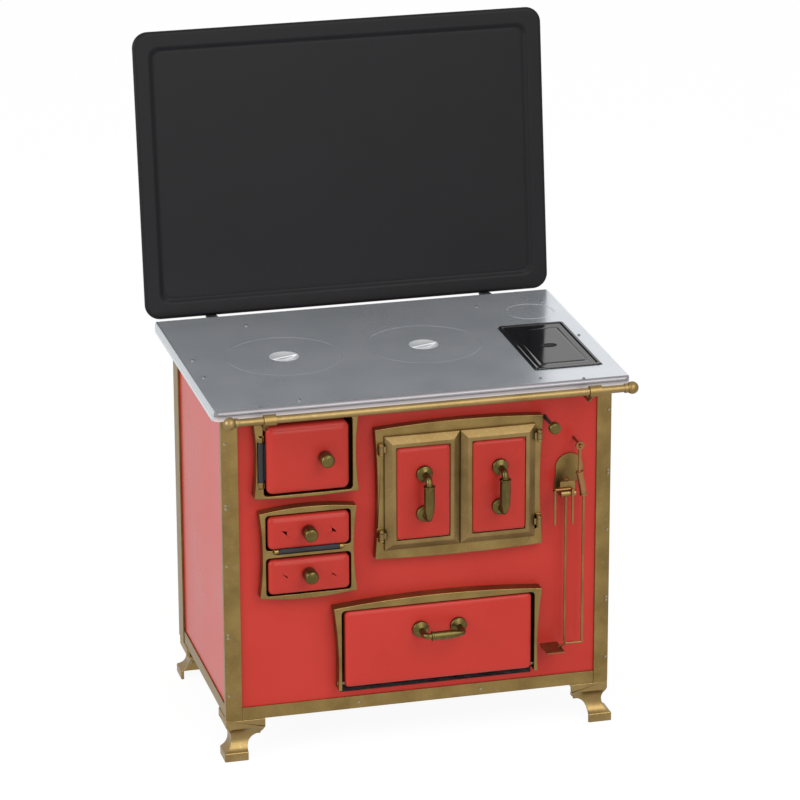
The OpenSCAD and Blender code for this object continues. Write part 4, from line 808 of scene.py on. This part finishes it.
f = Finish("screw_plate")
height = f.node("SeparateXYZ", None, {"Vector": f.place}, out=2)
rub = f.noise(800, 2)
up_high = f.spread(height, 0.843, 0.848)
screw_tone = f.blend(up_high, tint(156, 146, 120), tint(128, 130, 132))
screw_plate = f.surface(Base_Color=f.blend(rub * 0.3, screw_tone, tint(112, 108, 100)),
                        Metallic=1.0, Roughness=0.3 + rub * 0.1 + up_high * 0.08,
                        Normal=f.relief(rub, 0.00005, 0.2))
bm = cad_copy("screws")
ease(bm, 0.0004, segments=2)
finished("domed_screws", bm, screw_plate, "stove", "bright_steel", "screws")


# The studio: a wide pale floor that runs out of view, one broad lamp above and in front, weaker
# ones low in front and at the left, and an even white surround that metal and glaze reflect.

f = Finish("studio_floor")
rays = f.tree.nodes.new("ShaderNodeLightPath")
seen = (Wire(f, rays.outputs["Is Camera Ray"]) + Wire(f, rays.outputs["Is Glossy Ray"])
        + Wire(f, rays.outputs["Is Transmission Ray"]))
matte = f.node("BsdfDiffuse", None, {"Color": (0.86, 0.86, 0.86, 1)})
glow = f.node("Emission", None, {"Color": (1, 1, 1, 1), "Strength": 1.04})
f.node_output(f.node("MixShader", None, {0: seen * 0.9, 1: matte, 2: glow}))
bm = bmesh.new()
bmesh.ops.create_grid(bm, x_segments=1, y_segments=1, size=60.0)
mesh = bpy.data.meshes.new("studio_floor")
bm.to_mesh(mesh)
bm.free()
mesh.materials.append(f.material)
floor = bpy.data.objects.new("studio_floor", mesh)
bpy.context.scene.collection.objects.link(floor)

world = bpy.data.worlds.new("white_surround")
bpy.context.scene.world = world
world.use_nodes = True
tree = world.node_tree
tree.nodes.clear()
rays = tree.nodes.new("ShaderNodeLightPath")
ways = []
for kind in ("Camera", "Glossy", "Transmission"):
    ways.append(rays.outputs[f"Is {kind} Ray"])
either = tree.nodes.new("ShaderNodeMath")
either.operation = "ADD"
tree.links.new(ways[0], either.inputs[0])
tree.links.new(ways[1], either.inputs[1])
any_way = tree.nodes.new("ShaderNodeMath")
any_way.operation, any_way.use_clamp = "ADD", True
tree.links.new(either.outputs[0], any_way.inputs[0])
tree.links.new(ways[2], any_way.inputs[1])
soft, white = tree.nodes.new("ShaderNodeBackground"), tree.nodes.new("ShaderNodeBackground")
soft.inputs["Strength"].default_value = 0.62
white.inputs["Color"].default_value = soft.inputs["Color"].default_value = (1, 1, 1, 1)
white.inputs["Strength"].default_value = 1.0
pick = tree.nodes.new("ShaderNodeMixShader")
tree.links.new(any_way.outputs[0], pick.inputs[0])
tree.links.new(soft.outputs[0], pick.inputs[1])
tree.links.new(white.outputs[0], pick.inputs[2])
out = tree.nodes.new("ShaderNodeOutputWorld")
tree.links.new(pick.outputs[0], out.inputs["Surface"])


def lamp(name, place, size, power, aim=(0, 0, 0.6)):
    light = bpy.data.lights.new(name, "AREA")
    light.shape, light.size, light.energy = "DISK", size, power
    obj = bpy.data.objects.new(name, light)
    bpy.context.scene.collection.objects.link(obj)
    obj.location = place
    obj.rotation_euler = (Vector(aim) - Vector(place)).to_track_quat("-Z", "Y").to_euler()


lamp("key_lamp", (1.2, -3.4, 3.6), 3.0, 92)
lamp("front_lamp", (0.3, -5.2, 1.6), 1.3, 40)
lamp("side_lamp", (-3.6, -1.2, 2.2), 2.2, 82)


# The camera stands a little left of the stove and above it, far off, with a long lens. Its place
# and turn were solved from the photograph's own edges.

yaw, pitch, roll = 0.2585, -0.3485, -0.0013
lens = bpy.data.cameras.new("camera")
lens.lens, lens.sensor_width = 183.04, 36.0
lens.shift_x, lens.shift_y = -0.0247, 0.0375
lens.clip_end = 200.0
camera = bpy.data.objects.new("camera", lens)
bpy.context.scene.collection.objects.link(camera)
camera.location = (-2.159, -8.4693, 3.8199)
camera.rotation_euler = (Matrix.Rotation(-yaw, 3, "Z")
                         @ Matrix.Rotation(math.pi / 2 + pitch, 3, "X")
                         @ Matrix.Rotation(roll, 3, "Z")).to_euler()
bpy.context.scene.camera = camera
bpy.context.scene.view_settings.view_transform = "Standard"
